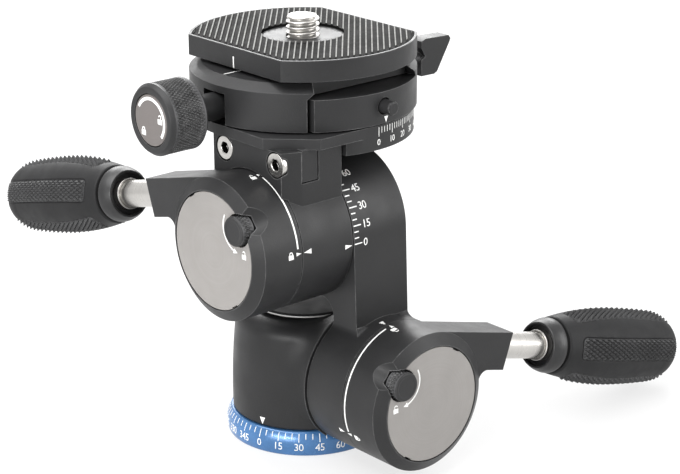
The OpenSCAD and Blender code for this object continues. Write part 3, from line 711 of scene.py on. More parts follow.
def dress(node, finish, width):
    """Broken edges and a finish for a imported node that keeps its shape."""
    obj = NODES[node]
    mesh = obj.data
    if "custom_normal" in mesh.attributes:
        mesh.attributes.remove(mesh.attributes["custom_normal"])
    mesh.shade_smooth()
    modify(obj, "Join", "WELD", merge_threshold=WELD_REACH)
    modify(obj, "Flat faces", "DECIMATE", decimate_type="DISSOLVE", angle_limit=FLAT_ANGLE)
    modify(obj, "Broken edges", "BEVEL", limit_method="ANGLE", angle_limit=EDGE_ANGLE, width=width,
           segments=2, use_clamp_overlap=True, miter_outer="MITER_ARC", harden_normals=False)
    even_normals(obj)
    mesh.materials.clear()
    mesh.materials.append(material(finish))


# handles

def handle_matrix(base, drum_at, side, drop):
    """Local z along a handle, from the foot of the drum."""
    slope = Matrix.Rotation(math.radians(-side * drop), 4, "Z")
    rise = Matrix.Translation((0, HANDLE_RISE, HANDLE_AT))
    turn = Matrix.Rotation(math.radians(side * 90.0), 4, "Y")
    return base @ Matrix.Translation((0, 0, drum_at)) @ slope @ rise @ turn


LOWER_HANDLE = handle_matrix(LOWER, LOWER_DRUM_AT, 1, LOWER_DROP)
UPPER_HANDLE = handle_matrix(UPPER, UPPER_DRUM_AT, -1, UPPER_DROP)


def grip_radius(along):
    """Radius of the grip at a distance from its front."""
    top = GRIP_LENGTH * GRIP_BELLY
    tail = GRIP_LENGTH * GRIP_TAIL
    front = GRIP_RADIUS - (GRIP_RADIUS - GRIP_FRONT_RADIUS) * (1.0 - along / top) ** 2
    back = GRIP_RADIUS - GRIP_TAIL_DROP * ((along - top) / (tail - top)) ** 2
    if along < top:
        return front
    if along < tail:
        return back
    rest = max(0.0, 1.0 - ((along - tail) / (GRIP_LENGTH - tail)) ** GRIP_END_POWER)
    return (GRIP_RADIUS - GRIP_TAIL_DROP) * math.sqrt(rest)


GRIP_TURNS = 400
GRIP_STEP = 0.28
GRIP_END_RINGS = 44
GRIP_END_POWER = 2.6
GRIP_LIP = 0.1
GRIP_LIP_DROP = 0.3
GRIP_LIP_EDGE = 0.05
GRIP_END_GAP = 0.002
SKIN = 0.01
GROOVE_WIDTH = 0.42
GROOVE_WALL = 0.16
SEAM_AHEAD = 0.5
SEAM_BEHIND = 0.75
SEAM_RADIUS = 8.05
SEAM_INNER = SHAFT_RADIUS + 3.65
SEAM_PLAY = 0.02
SEAM_DEPTH = 2.5
MOUTH_PLAY = 0.03
MOUTH_WALL = 0.6
MOUTH_AHEAD = 0.6
MOUTH_DEPTH = 1.78
PAD_FADE = 9.0
PAD_LAST_HEIGHT = 0.3
PAD_PLAY = 0.02
PAD_CELLS = 8
PAD_RIM = 0.12


def pad_distance(along, across):
    """Distance to a pad's outline on the grip, negative inside it."""
    a = np.abs(along - PAD_START - PAD_LENGTH / 2.0) - (PAD_LENGTH / 2.0 - PAD_CORNER)
    b = np.abs(across) - (PAD_WIDTH / 2.0 - PAD_CORNER)
    outside = np.hypot(np.maximum(a, 0.0), np.maximum(b, 0.0))
    return outside + np.minimum(np.maximum(a, b), 0.0) - PAD_CORNER


def grip_skin(matrix, turn):
    """Points and faces of a grip with a rounded end, sunk a little round and under its pads."""
    groove = in_mm(sizes().pad_groove)
    angle = np.linspace(0.0, 360.0, GRIP_TURNS, endpoint=False)
    spread = 360.0 / PAD_COUNT
    local = np.radians((angle - turn + spread / 2.0) % spread - spread / 2.0)
    body = np.arange(0.0, GRIP_LENGTH * GRIP_TAIL, GRIP_STEP)
    rest = GRIP_LENGTH - body[-1]
    tail = body[-1] + rest * np.sin(np.linspace(0.0, 0.5 * math.pi, GRIP_END_RINGS)[1:-1])
    front = SEAM_BEHIND
    rings = [(0.0, front), (SHAFT_RADIUS, front), (GRIP_FRONT_RADIUS - GRIP_LIP_DROP, front)]
    rings.append((GRIP_FRONT_RADIUS - GRIP_LIP_EDGE, front + GRIP_LIP))
    for along in np.concatenate([body[body > front + GRIP_LIP], tail]):
        radius = grip_radius(along) - SKIN
        far = pad_distance(along, radius * np.sin(local))
        rings.append((radius - groove * np.clip((GROOVE_WIDTH - far) / GROOVE_WALL, 0.0, 1.0), along))
    rings.append((0.0, GRIP_LENGTH - GRIP_END_GAP))
    points, faces = revolve(rings, GRIP_TURNS)
    return placed(points, matrix @ Matrix.Translation((0, 0, GRIP_AT))), faces


def pad_half_width(along):
    """Half the width of a pad at a distance from its start, with rounded corners."""
    near = min(along, PAD_LENGTH - along)
    if near >= PAD_CORNER:
        return PAD_WIDTH / 2.0
    missing = PAD_CORNER - math.sqrt(max(0.0, PAD_CORNER ** 2 - (PAD_CORNER - near) ** 2))
    return PAD_WIDTH / 2.0 - missing


def pad_skin(matrix, turn):
    """Points and faces of one pad with raised points, closed at its sides and underside."""
    pitch = in_mm(sizes().pad_pitch)
    pitch_across = in_mm(sizes().pad_pitch_across)
    depth = in_mm(sizes().pad_depth)
    rows = round(PAD_LENGTH / pitch * PAD_CELLS)
    columns = round(PAD_WIDTH / pitch_across * PAD_CELLS)
    columns += columns % 2
    top = []
    under = []
    for row in range(rows + 1):
        along = PAD_LENGTH * row / rows
        half = pad_half_width(along)
        base = grip_radius(PAD_START + along)
        across = np.linspace(-half, half, columns + 1)
        edge = np.minimum(half - np.abs(across), min(along, PAD_LENGTH - along))
        point = diamond(along / pitch, across / pitch_across) * np.minimum(1.0, edge / PAD_RIM)
        fade = max(0.0, 1.0 - (PAD_LENGTH - along) / PAD_FADE)
        tall = PAD_HEIGHT - PAD_PLAY - (PAD_HEIGHT - PAD_LAST_HEIGHT) * fade ** 2
        level = base + tall - depth * (1.0 - point)
        height = np.full(columns + 1, GRIP_AT + PAD_START + along)
        top.append(np.stack([np.sqrt(level ** 2 - across ** 2), across, height], axis=1))
        seat = base - depth
        under.append(np.stack([np.sqrt(seat ** 2 - across ** 2), across, height], axis=1))
    points = placed(np.concatenate(top + under), matrix @ Matrix.Rotation(turn, 4, "Z"))
    return points, slab_faces(rows, columns)


def slab_faces(rows, columns):
    """Faces of a slab whose top and underside are grids of the same size."""
    width = columns + 1
    offset = (rows + 1) * width
    faces = []
    for row in range(rows):
        for column in range(columns):
            a = row * width + column
            quad = (a, a + 1, a + 1 + width, a + width)
            faces.append(quad)
            faces.append(tuple(offset + i for i in reversed(quad)))
    rim = [column for column in range(columns)]
    rim += [row * width + columns for row in range(rows)]
    rim += [rows * width + column for column in range(columns, 0, -1)]
    rim += [row * width for row in range(rows, 0, -1)]
    for a, b in zip(rim, rim[1:] + rim[:1]):
        faces.append((a, a + offset, b + offset, b))
    return faces


# housing

def round_max(first, second, radius):
    """Common part of two distance fields with a rounded edge."""
    a = first + radius
    b = second + radius
    outside = np.sqrt(np.maximum(a, 0.0) ** 2 + np.maximum(b, 0.0) ** 2)
    return outside + np.minimum(np.maximum(a, b), 0.0) - radius


def round_min(first, second, radius):
    """Union of two distance fields with a fillet."""
    return -round_max(-first, -second, radius)


BARREL_BOTTOM = 7.5
BARREL_TOP = 39.4
BARREL_RADIUS = 22.1
BARREL_TAPER = 1.1
TAPER_START = 12.0
TAPER_HEIGHT = 22.0
SHOULDER = 5.0
FOOT_EDGE = 0.35
FLARE_ROOT = 4.0
FLARE_START = 12.0
FLARE_END = 24.2
FLARE_NECK = 14.95
FLARE_RIM = 19.9
RIM_RADIUS = 20.95
FLARE_EDGE = 0.2
LIP_INNER = 17.5
LIP_FOOT = 18.0
LIP_BACK = 21.9
LIP_EDGE = 0.3
LIP_CORNER = 0.08
LIP_CLEAR = 0.4
LIP_CLOSE = 0.05
LIP_STEPS = 180
SPINDLE_BORE = 7.05
SPINDLE_SEAT = 9.05
SPINDLE_SEAT_TOP = 14.5
WASHER_SEAT = 11.3
WASHER_SEAT_FLOOR = 33.0
AXLE_BORE = 8.0
AXLE_BORE_END = 10.6
LOCK_BORE = 2.55
HOUSING_CELL = 0.00045


def housing_field(points, fillet):
    """Distance to the housing: barrel and flare with a fillet between them, less its bores."""
    x, y, z = points.T
    out = np.hypot(x, y)
    side = out - BARREL_RADIUS + BARREL_TAPER * (np.maximum(0.0, z - TAPER_START) / TAPER_HEIGHT) ** 2
    barrel = round_max(side, z - BARREL_TOP, SHOULDER)
    rise = FLARE_RIM - FLARE_NECK
    run = FLARE_END - FLARE_START
    arc = (run * run + rise * rise) / (2.0 * rise)
    reach = np.hypot(x, z - SIDE_TILT.z)
    along = np.clip(-y, FLARE_START, FLARE_START + arc * 0.99)
    trumpet = FLARE_NECK + arc - np.sqrt(arc * arc - (along - FLARE_START) ** 2)
    slope = np.sqrt(1.0 - ((along - FLARE_START) / arc) ** 2)
    flare = np.maximum((reach - trumpet) * slope, FLARE_ROOT + y)
    body = round_min(barrel, flare, fillet)
    body = round_max(body, -y - FLARE_END, FLARE_EDGE)
    body = np.where(y < 0, body, barrel)
    body = round_max(body, BARREL_BOTTOM - z, FOOT_EDGE)
    spindle = np.minimum(out - SPINDLE_BORE, np.maximum(out - SPINDLE_SEAT, z - SPINDLE_SEAT_TOP))
    washer = np.maximum(out - WASHER_SEAT, WASHER_SEAT_FLOOR - z)
    axle = np.maximum(reach - AXLE_BORE, y + AXLE_BORE_END)
    lock = np.maximum(np.hypot(y, z - PAN_LOCK.z) - LOCK_BORE, -x)
    bores = np.minimum(np.minimum(spindle, washer), np.minimum(axle, lock))
    return np.maximum(body, -bores)


def pull_onto(points, field, steps=6, limit=1.2):
    """Moves points onto the zero of a field along its slope."""
    small = 0.02
    for _ in range(steps):
        value = field(points)
        slope = np.stack([
            (field(points + offset) - field(points - offset)) / (2.0 * small)
            for offset in np.eye(3) * small
        ], axis=1)
        size = np.maximum(np.sum(slope ** 2, axis=1), 0.05)
        step = slope * (value / size)[:, None]
        length = np.linalg.norm(step, axis=1, keepdims=True)
        points = points - step * np.minimum(1.0, limit / np.maximum(length, 1e-9))
    return points


# marks

def finely_cut(flat, polygons, cell):
    """Flat polygons cut by a square grid, so that they can follow a curved surface."""
    work = bmesh.new()
    verts = [work.verts.new((a, b, 0.0)) for a, b in flat]
    for polygon in polygons:
        work.faces.new([verts[i] for i in polygon])
    for axis, normal in enumerate((Vector((1.0, 0.0, 0.0)), Vector((0.0, 1.0, 0.0)))):
        values = [point[axis] for point in flat]
        first = math.floor(min(values) / cell) + 1
        last = math.ceil(max(values) / cell) - 1
        for line in range(first, last + 1):
            parts = work.verts[:] + work.edges[:] + work.faces[:]
            spot = normal * line * cell
            bmesh.ops.bisect_plane(work, geom=parts, dist=1e-4, plane_co=spot, plane_no=normal)
    work.verts.index_update()
    cut = [(vert.co.x, vert.co.y) for vert in work.verts]
    pieces = [tuple(vert.index for vert in face.verts) for face in work.faces]
    work.free()
    return cut, pieces


DIGIT_ADVANCE = 0.66


class Art:
    """Flat marks, each laid on a surface by a place function and given a thickness."""

    def __init__(self):
        self.points = []
        self.faces = []

    def add(self, flat, polygons, place):
        """Adds one closed mark from flat points and polygons."""
        rise = in_mm(sizes().mark_height)
        sink = in_mm(sizes().mark_sink)
        flat, polygons = finely_cut(flat, polygons, in_mm(sizes().mark_cell))
        start = len(self.points)
        count = len(flat)
        self.points.extend(place(a, b, rise) for a, b in flat)
        self.points.extend(place(a, b, -sink) for a, b in flat)
        uses = {}
        for polygon in polygons:
            self.faces.append(tuple(start + i for i in polygon))
            self.faces.append(tuple(start + count + i for i in reversed(polygon)))
            for a, b in zip(polygon, polygon[1:] + polygon[:1]):
                key = (min(a, b), max(a, b))
                uses.setdefault(key, []).append((a, b))
        for sides in uses.values():
            if len(sides) == 1:
                a, b = sides[0]
                self.faces.append((start + a, start + count + a, start + count + b, start + b))

    def bar(self, a0, b0, a1, b1, place):
        """Adds a rectangle between two corners."""
        self.shape([(a0, b0), (a1, b0), (a1, b1), (a0, b1)], place)

    def shape(self, outline, place):
        """Adds one convex outline."""
        self.add(outline, [tuple(range(len(outline)))], place)

    def number(self, value, place, glyphs, height):
        """Adds a number centred on the place's origin, in millimetres."""
        digits = str(value)
        advance = height * DIGIT_ADVANCE
        start = -advance * (len(digits) - 1) / 2.0
        for index, digit in enumerate(digits):
            flat, polygons = glyphs[digit]
            shift = start + index * advance
            self.add([(shift + x * height, y * height) for x, y in flat], polygons, place)

    def make(self, name, body):
        """Makes the object that holds these marks."""
        return settle(make_mesh(name, self.points, self.faces), body, "White print")


def digit_glyphs():
    """Flat points and polygons of the ten digits, one unit high and centred."""
    glyphs = {}
    for digit in "0123456789":
        curve = bpy.data.curves.new("digit", "FONT")
        curve.body = digit
        curve.resolution_u = sizes().digit_steps
        holder = new_object("digit", curve)
        bpy.context.view_layer.update()
        shown = holder.evaluated_get(bpy.context.evaluated_depsgraph_get())
        mesh = bpy.data.meshes.new_from_object(shown)
        work = bmesh.new()
        work.from_mesh(mesh)
        bmesh.ops.remove_doubles(work, verts=work.verts, dist=0.0005)
        work.verts.index_update()
        flat = [(vert.co.x, vert.co.y) for vert in work.verts]
        polygons = [tuple(vert.index for vert in face.verts) for face in work.faces]
        work.free()
        bpy.data.meshes.remove(mesh)
        bpy.data.objects.remove(holder)
        bpy.data.curves.remove(curve)
        left = min(x for x, _ in flat)
        right = max(x for x, _ in flat)
        base = min(y for _, y in flat)
        tall = max(y for _, y in flat) - base
        middle = (left + right) / 2.0
        glyphs[digit] = ([((x - middle) / tall, (y - base) / tall - 0.5) for x, y in flat], polygons)
    return glyphs


def on_round(matrix, radius):
    """Place function of a cylinder: angle in degrees and height along its axis."""
    def place(angle, along, lift):
        turn = math.radians(angle)
        reach = radius + lift
        return matrix @ Vector((reach * math.cos(turn), reach * math.sin(turn), along))
    return place


LEG_LEAN = 1.6 / 44.7


def on_boss(radius):
    """Place function of the bracket's boss, which runs into the leaning front of the leg below the axis."""
    above = on_round(UPPER, radius)

    def place(angle, along, lift):
        if angle >= 0.0:
            return above(angle, along, lift)
        drop = -radius * math.radians(angle)
        return UPPER @ Vector((radius + LEG_LEAN * drop + lift, -drop, along))
    return place


RING_EDGE = 7.5
RING_CENTRE = 16.55
RING_MIDDLE = 2.6


def on_ring(angle, along, lift):
    """Place on the rounded edge of the base ring: angle in degrees and height."""
    tilt = math.asin(max(-1.0, min(1.0, (along - RING_MIDDLE) / RING_EDGE)))
    reach = RING_CENTRE + (RING_EDGE + lift) * math.cos(tilt)
    turn = math.radians(angle)
    height = RING_MIDDLE + (RING_EDGE + lift) * math.sin(tilt)
    return PAN @ Vector((reach * math.cos(turn), reach * math.sin(turn), height))


def upright(place, angle, along, radius):
    """Text that reads round the axis: x with the angle, y along the axis."""
    def put(x, y, lift):
        return place(angle + math.degrees(x / radius), along + y, lift)
    return put


def sideways(place, angle, along, radius):
    """Text that reads along the axis: x against it, y with the angle."""
    def put(x, y, lift):
        return place(angle + math.degrees(y / radius), along - x, lift)
    return put


def padlock(art, place, size, is_open):
    """A small padlock: a body and a shackle of short bars, raised where it is open."""
    half = size * 0.36
    foot = size * 0.06
    bend = size * 0.24
    width = size * 0.11
    centre = size * 0.18
    lift = size * 0.10 if is_open else 0.0
    art.bar(-half, -size * 0.5, half, foot, place)
    steps = 8
    inner = []
    outer = []
    for step in range(steps + 1):
        turn = math.pi * step / steps
        inner.append(((bend - width) * math.cos(turn), centre + lift + (bend - width) * math.sin(turn)))
        outer.append((bend * math.cos(turn), centre + lift + bend * math.sin(turn)))
    polygons = [(i, i + 1, steps + 2 + i, steps + 1 + i) for i in range(steps)]
    art.add(inner + outer, polygons, place)
    art.bar(-bend, foot, width - bend, centre + lift, place)
    if not is_open:
        art.bar(bend - width, foot, bend, centre, place)


def pointer(art, place, first, second, tip, base, end):
    """A triangle: angles of its base's two ends and of its tip, then the heights of base and tip."""
    art.shape([(first, base), (second, base), (tip, end)], place)


class HEAD_OT_finishes(Operator):
    """Make the finishes of the head."""

    bl_idname = "tripod_head.finishes"
    bl_label = "Finishes"

    def execute(self, context):
        tint = colours()
        blasted_metal("Black anodised", tint.body, rough=0.42, edge_wear_highlight=0.55, specular=0.24)
        blasted_metal("Black knurl", tint.body, rough=0.40, edge_wear_highlight=0.55, specular=0.24, knurled=True)
        moulded("Matt cap", tint.cap, rough=0.80, grain=2600.0, depth=0.00002, specular=0.12)
        blasted_metal(
            "Blue anodised", tint.ring, rough=0.24, edge_wear_highlight=0.35, specular=0.3, metallic=0.25, coat=0.4)
        turned_metal("Warm grey", tint.disc, PAN, rough=0.50)
        turned_metal("Dark satin", tint.collar, PAN, rough=0.40)
        # Bright steel gets painted shade in its sockets.
        turned_metal("Bright steel", tint.steel, PAN, rough=0.20, metallic=1.0, socket_shade=0.003)
        turned_metal("Screw steel", tint.steel, PAN, rough=0.34, metallic=1.0)
        turned_metal("Bronze", tint.bronze, PAN, rough=0.35, metallic=1.0)
        # Pale finish painted as the highlight on the pan cap's edge.
        turned_metal("Bare edge", tint.bare_edge, PAN, rough=0.35, metallic=0.3)
        turned_metal("Knob cap", tint.knob_cap, KNOB, rough=0.50, depth=FINE_TURNING, streak=0.04)
        for side, drum, handle in (("Lower", LOWER, LOWER_HANDLE), ("Upper", UPPER, UPPER_HANDLE)):
            turned_metal(side + " disc", tint.disc, drum, rough=0.52, depth=FINE_TURNING, streak=0.04)
            turned_metal(side + " collar", tint.collar, handle, rough=0.40)
            turned_metal(side + " shaft", tint.steel, handle, rough=0.30, metallic=1.0, depth=FINE_TURNING)
        moulded("Moulded grip", tint.grip, rough=0.58, grain=3600.0, depth=0.000018, specular=0.22)
        moulded("Pad rubber", tint.pad, rough=0.62, grain=4200.0, depth=0.000016, specular=0.3)
        # Finish of the black rings painted as the shade in the seams.
        moulded("Seam shade", tint.seam, rough=0.75, grain=4200.0, depth=0.000016, specular=0.1)
        ribbed_rubber("Ribbed rubber", tint.rubber, rough=0.62, top=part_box("plate_pad")[1].z)
        printed("White print", tint.mark)
        return {"FINISHED"}


class HEAD_OT_metalwork(Operator):
    """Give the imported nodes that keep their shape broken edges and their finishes."""

    bl_idname = "tripod_head.metalwork"
    bl_label = "Metalwork"

    def execute(self, context):
        width = sizes().edge_round
        for node in NODES:
            finish = FINISH_OF_NODE.get(node) or FINISH_OF_SLOT[slot_of(node)]
            dress(node, finish, width)
        return {"FINISHED"}


class HEAD_OT_housing(Operator):
    """Make the pan housing with a fillet between its barrel and its flare."""

    bl_idname = "tripod_head.housing"
    bl_label = "Pan housing"

    def execute(self, context):
        source = NODES["pan_housing"].data.copy()
        work = bmesh.new()
        work.from_mesh(source)
        bmesh.ops.remove_doubles(work, verts=work.verts, dist=WELD_REACH)
        work.to_mesh(source)
        work.free()
        obj = new_object("housing", source)
        modify(obj, "Even grid", "REMESH", mode="VOXEL", voxel_size=HOUSING_CELL)
        context.view_layer.update()
        shown = obj.evaluated_get(context.evaluated_depsgraph_get())
        mesh = bpy.data.meshes.new_from_object(shown)
        obj.modifiers.clear()
        obj.data = mesh
        points = np.zeros(len(mesh.vertices) * 3)
        mesh.vertices.foreach_get("co", points)
        fillet = in_mm(sizes().housing_fillet)
        points = pull_onto(points.reshape(-1, 3) / MM, lambda p: housing_field(p, fillet))
        mesh.vertices.foreach_set("co", (points * MM).ravel())
        mesh.materials.clear()
        mesh.shade_smooth()
        settle(obj, "housing", "Black anodised", ("pan_housing",))
        return {"FINISHED"}


# clamp knob: head, bore and plain edges beside its knurl
CLAMP_HEAD = 12.6
CLAMP_BORE = 2.9
CLAMP_BORE_DEPTH = 4.0
CLAMP_STEM = 3.9
CLAMP_RECESS = 1.3
CLAMP_CAP_PLAY = 0.2
CLAMP_EDGE = 0.9
CLAMP_FRONT_EDGE = 1.2
# pan lock knob: head, stem, shoulder and dished face
LOCK_HEAD = 10.2
LOCK_STEM = 2.5
LOCK_SHOULDER = 4.6
LOCK_SHOULDER_LENGTH = 1.1
LOCK_DISH = 4.4
LOCK_DISH_FLOOR = 4.0
LOCK_DISH_DEPTH = 0.5
LOCK_EDGE = 0.7
LOCK_FRONT_WIDTH = 1.2
LOCK_FRONT_EDGE = 1.4
# pull knobs: stem, edges and dished face
PULL_STEM = 1.5
PULL_STEM_FOOT = 4.8
PULL_EDGE = 0.25
PULL_EDGE_HEIGHT = 0.3
PULL_DISH = 3.2
PULL_DISH_FLOOR = 2.9
PULL_DISH_DEPTH = 0.08
PULL_MARGIN = 0.05
PULL_KNURL_DEPTH = 0.4
# a broken edge reaches the full radius in two short steps
EDGE_STEP = 0.02
EDGE_LEAD = 0.1
KNURL_MARGIN = 0.1


def pull_spot(side, along):
    """Place of a pull knob's axis on its drum, at a height along the drum's axis."""
    turn = math.radians(PULL_ANGLE)
    return Vector((-side * PULL_REACH * math.cos(turn), PULL_REACH * math.sin(turn), along))


def half_height(node):
    """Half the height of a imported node, in millimetres."""
    return (high(node).z - low(node).z) / 2.0


def back_edge(radius, back, width):
    """Profile of a knob's broken edge, from its back to its full radius."""
    return [(radius - width, back), (radius - EDGE_STEP, back + width), (radius, back + width + EDGE_LEAD)]


def front_edge(radius, end, width, length, lead=EDGE_LEAD):
    """Profile of a knob's broken edge, from its full radius to its front."""
    return [(radius, end - length - lead), (radius - EDGE_STEP, end - length), (radius - width, end)]


class HEAD_OT_knobs(Operator):
    """Make the knurled clamp knob, pan lock knob and the two pull knobs."""

    bl_idname = "tripod_head.knobs"
    bl_label = "Knurled knobs"

    def knob(self, name, matrix, profiles, knurl, margin, body, node):
        """A knob from the profiles behind and ahead of its knurl of a pitch and depth."""
        behind, ahead = profiles
        radius, start = behind[-1]
        band = (start + margin, ahead[0][1] - margin)
        obj = knurled(name, matrix, behind, ahead, radius, band, *knurl)
        settle(obj, body, "Black knurl", (node,))

    def clamp_profiles(self):
        end = -low("clamp_knob").x
        stem = -high("clamp_knob").x
        radius = half_height("clamp_knob")
        cap = half_height("clamp_knob_cap") + CLAMP_CAP_PLAY
        back = end - CLAMP_HEAD
        seat = back + CLAMP_BORE_DEPTH
        floor = end - CLAMP_RECESS
        stem_part = [(CLAMP_BORE, seat), (CLAMP_BORE, stem), (CLAMP_STEM, stem), (CLAMP_STEM, back)]
        behind = [(0.0, seat)] + soften(stem_part + back_edge(radius, back, CLAMP_EDGE), 0.35)
        ahead = soften(front_edge(radius, end, CLAMP_EDGE, CLAMP_FRONT_EDGE)
                       + [(cap, end), (cap, floor), (0.0, floor)], 0.25)
        return behind, ahead

    def lock_profiles(self):
        stem = low("pan_lock_knob").x
        end = high("pan_lock_knob").x
        radius = half_height("pan_lock_knob")
        back = end - LOCK_HEAD
        step = back - LOCK_SHOULDER_LENGTH
        floor = end - LOCK_DISH_DEPTH
        stem_part = [(0.0, stem), (LOCK_STEM, stem), (LOCK_STEM, step), (LOCK_SHOULDER, step),
                     (LOCK_SHOULDER, back)]
        behind = soften(stem_part + back_edge(radius, back, LOCK_EDGE), 0.3)
        ahead = soften(front_edge(radius, end, LOCK_FRONT_WIDTH, LOCK_FRONT_EDGE)
                       + [(LOCK_DISH, end), (LOCK_DISH_FLOOR, floor), (0.0, floor)], 0.3)
        return behind, ahead

    def pull_profiles(self, end):
        radius = PULL_RADIUS
        foot = end - PULL_HEIGHT
        floor = end - PULL_DISH_DEPTH
        behind = soften([(0.0, PULL_STEM_FOOT), (PULL_STEM, PULL_STEM_FOOT), (PULL_STEM, foot),
                         (radius - PULL_EDGE, foot), (radius, foot + PULL_EDGE_HEIGHT)], 0.15)
        ahead = soften(front_edge(radius, end, PULL_EDGE, PULL_EDGE_HEIGHT, PULL_MARGIN)
                       + [(PULL_DISH, end), (PULL_DISH_FLOOR, floor), (0.0, floor)], 0.12)
        return behind, ahead

    def execute(self, context):
        knurl = (in_mm(sizes().knob_knurl), in_mm(sizes().knurl_depth))
        self.knob("knurled_clamp_knob", KNOB, self.clamp_profiles(), knurl, KNURL_MARGIN,
                  "knob", "clamp_knob")
        self.knob("knurled_lock_knob", PAN_KNOB, self.lock_profiles(), knurl, KNURL_MARGIN,
                  "pan_lock", "pan_lock_knob")
        knurl = (in_mm(sizes().pull_knurl), PULL_KNURL_DEPTH)
        pulls = (("lower_pull", LOWER, LOWER_DRUM_AT, 1, -low("lower_pull").y),
                 ("upper_pull", UPPER, UPPER_DRUM_AT, -1, -low("upper_pull").x))
        for name, base, drum_at, side, end in pulls:
            place = base @ Matrix.Translation(pull_spot(side, drum_at))
            profiles = self.pull_profiles(end - drum_at)
            self.knob(name + "_knurled", place, profiles, knurl, PULL_MARGIN, name, name)
        return {"FINISHED"}


class HEAD_OT_grips(Operator):
    """Make the grips, their raised pads, black rings painted as the shade in their seams, and the bright rings in
    the mouths of their collars.
    """

    bl_idname = "tripod_head.grips"
    bl_label = "Grips and pads"

    def execute(self, context):
        handles = (("lower", LOWER_HANDLE, LOWER_PAD_TURN), ("upper", UPPER_HANDLE, UPPER_PAD_TURN))
        for name, matrix, turn in handles:
            obj = hoop(name + "_mouth_ring", matrix, SHAFT_RADIUS + MOUTH_PLAY, SHAFT_RADIUS + MOUTH_WALL,
                       COLLAR_AT - MOUTH_AHEAD, COLLAR_AT + MOUTH_DEPTH)
            settle(obj, name + "_lock", name.capitalize() + " shaft")
            # Black ring painted as the shade in the seam between collar and grip.
            obj = hoop(name + "_seam_shade_ring", matrix, SEAM_INNER, SEAM_RADIUS,
                       GRIP_AT - SEAM_AHEAD + SEAM_PLAY, GRIP_AT + SEAM_BEHIND - SEAM_PLAY)
            settle(obj, name + "_lock", "Seam shade")
            points, faces = grip_skin(matrix, turn)
            obj = make_mesh(name + "_moulded_grip", points, faces)
            settle(obj, name + "_lock", "Moulded grip", (name + "_grip",))
            all_points = []
            all_faces = []
            for index in range(PAD_COUNT):
                points, faces = pad_skin(matrix, math.radians(turn + 360.0 / PAD_COUNT * index))
                start = len(all_points)
                all_points.extend(points.tolist())
                all_faces.extend(tuple(start + i for i in face) for face in faces)
            obj = make_mesh(name + "_pointed_pads", all_points, all_faces)
            obj.data.shade_flat()
            settle(obj, name + "_lock", "Pad rubber", (name + "_pads",))
        return {"FINISHED"}


class HEAD_OT_seams(Operator):
    """Make the flare's lip, black rings painted as the shade in the seams beside the hubs, and a pale ring painted
    as the highlight on the pan cap's edge.
    """

    bl_idname = "tripod_head.seams"
    bl_label = "Seams"

    def flare_rim(self):
        """The lip of the housing's flare, open at the bottom over the base ring."""
        half = soften([(LIP_INNER, FLARE_END), (LIP_INNER, LIP_BACK), (LIP_FOOT, LIP_BACK),
                       (RIM_RADIUS, FLARE_END - LIP_EDGE), (RIM_RADIUS, FLARE_END),
                       (LIP_INNER + LIP_CLOSE, FLARE_END)], LIP_CORNER)
        rise = (SIDE_TILT.z - BARREL_BOTTOM - LIP_CLEAR) / RIM_RADIUS
        opening = math.acos(min(1.0, rise))
        bottom = -0.5 * math.pi
        turn = np.linspace(bottom + opening, bottom + 2.0 * math.pi - opening, LIP_STEPS + 1)
        points = [(r * math.cos(t), r * math.sin(t), z) for t in turn for r, z in half]
        count = len(half)
        faces = []
        for step in range(len(turn) - 1):
            here = list(range(step * count, step * count + count))
            faces += bridge(here, [index + count for index in here])
        faces.append(tuple(range(count)))
        faces.append(tuple(range(len(points) - count, len(points))))
        obj = make_mesh("flare_rim", placed(points, LOWER), faces)
        settle(obj, "housing", "Black anodised")
        even_normals(obj)

    def execute(self, context):
        self.flare_rim()
        lower_hub = -low("pan_housing").y + RUN_GAP
        # Black rings painted as the shade in the seams beside the hubs.
        seams = (
            ("flare_seam_shade", LOWER, DRUM_RADIUS - FLARE_SEAM_DROP, FLARE_END, lower_hub, "bracket"),
            ("lower_seam_shade", LOWER, DRUM_RADIUS, LOWER_DRUM_AT - RUN_GAP, LOWER_DRUM_AT, "bracket"),
            ("upper_seam_shade", UPPER, DRUM_RADIUS, UPPER_DRUM_AT - RUN_GAP, UPPER_DRUM_AT, "tilt"),
        )
        for name, matrix, radius, start, end, body in seams:
            obj = hoop(name, matrix, radius - SEAM_DEPTH, radius - SEAM_PLAY,
                       start + SEAM_PLAY, end - SEAM_PLAY, SEAM_PLAY)
            settle(obj, body, "Seam shade")
        # Pale ring painted as the highlight on the pan cap's edge.
        radius = high("pan_cap").x
        bottom = high("pan_cap").z - CAP_THICKNESS
        obj = hoop("cap_edge_highlight_ring", PAN, radius - CAP_EDGE_DEPTH, radius + CAP_EDGE_PROUD,
                   bottom - CAP_EDGE_PROUD, bottom + CAP_EDGE_HEIGHT, CAP_EDGE_CORNER)
        settle(obj, "housing", "Bare edge")
        return {"FINISHED"}


def circle(radius, count):
    """Points of a circle."""
    turns = np.linspace(0.0, 2.0 * math.pi, count + 1)[:-1]
    return [(radius * math.cos(turn), radius * math.sin(turn)) for turn in turns]


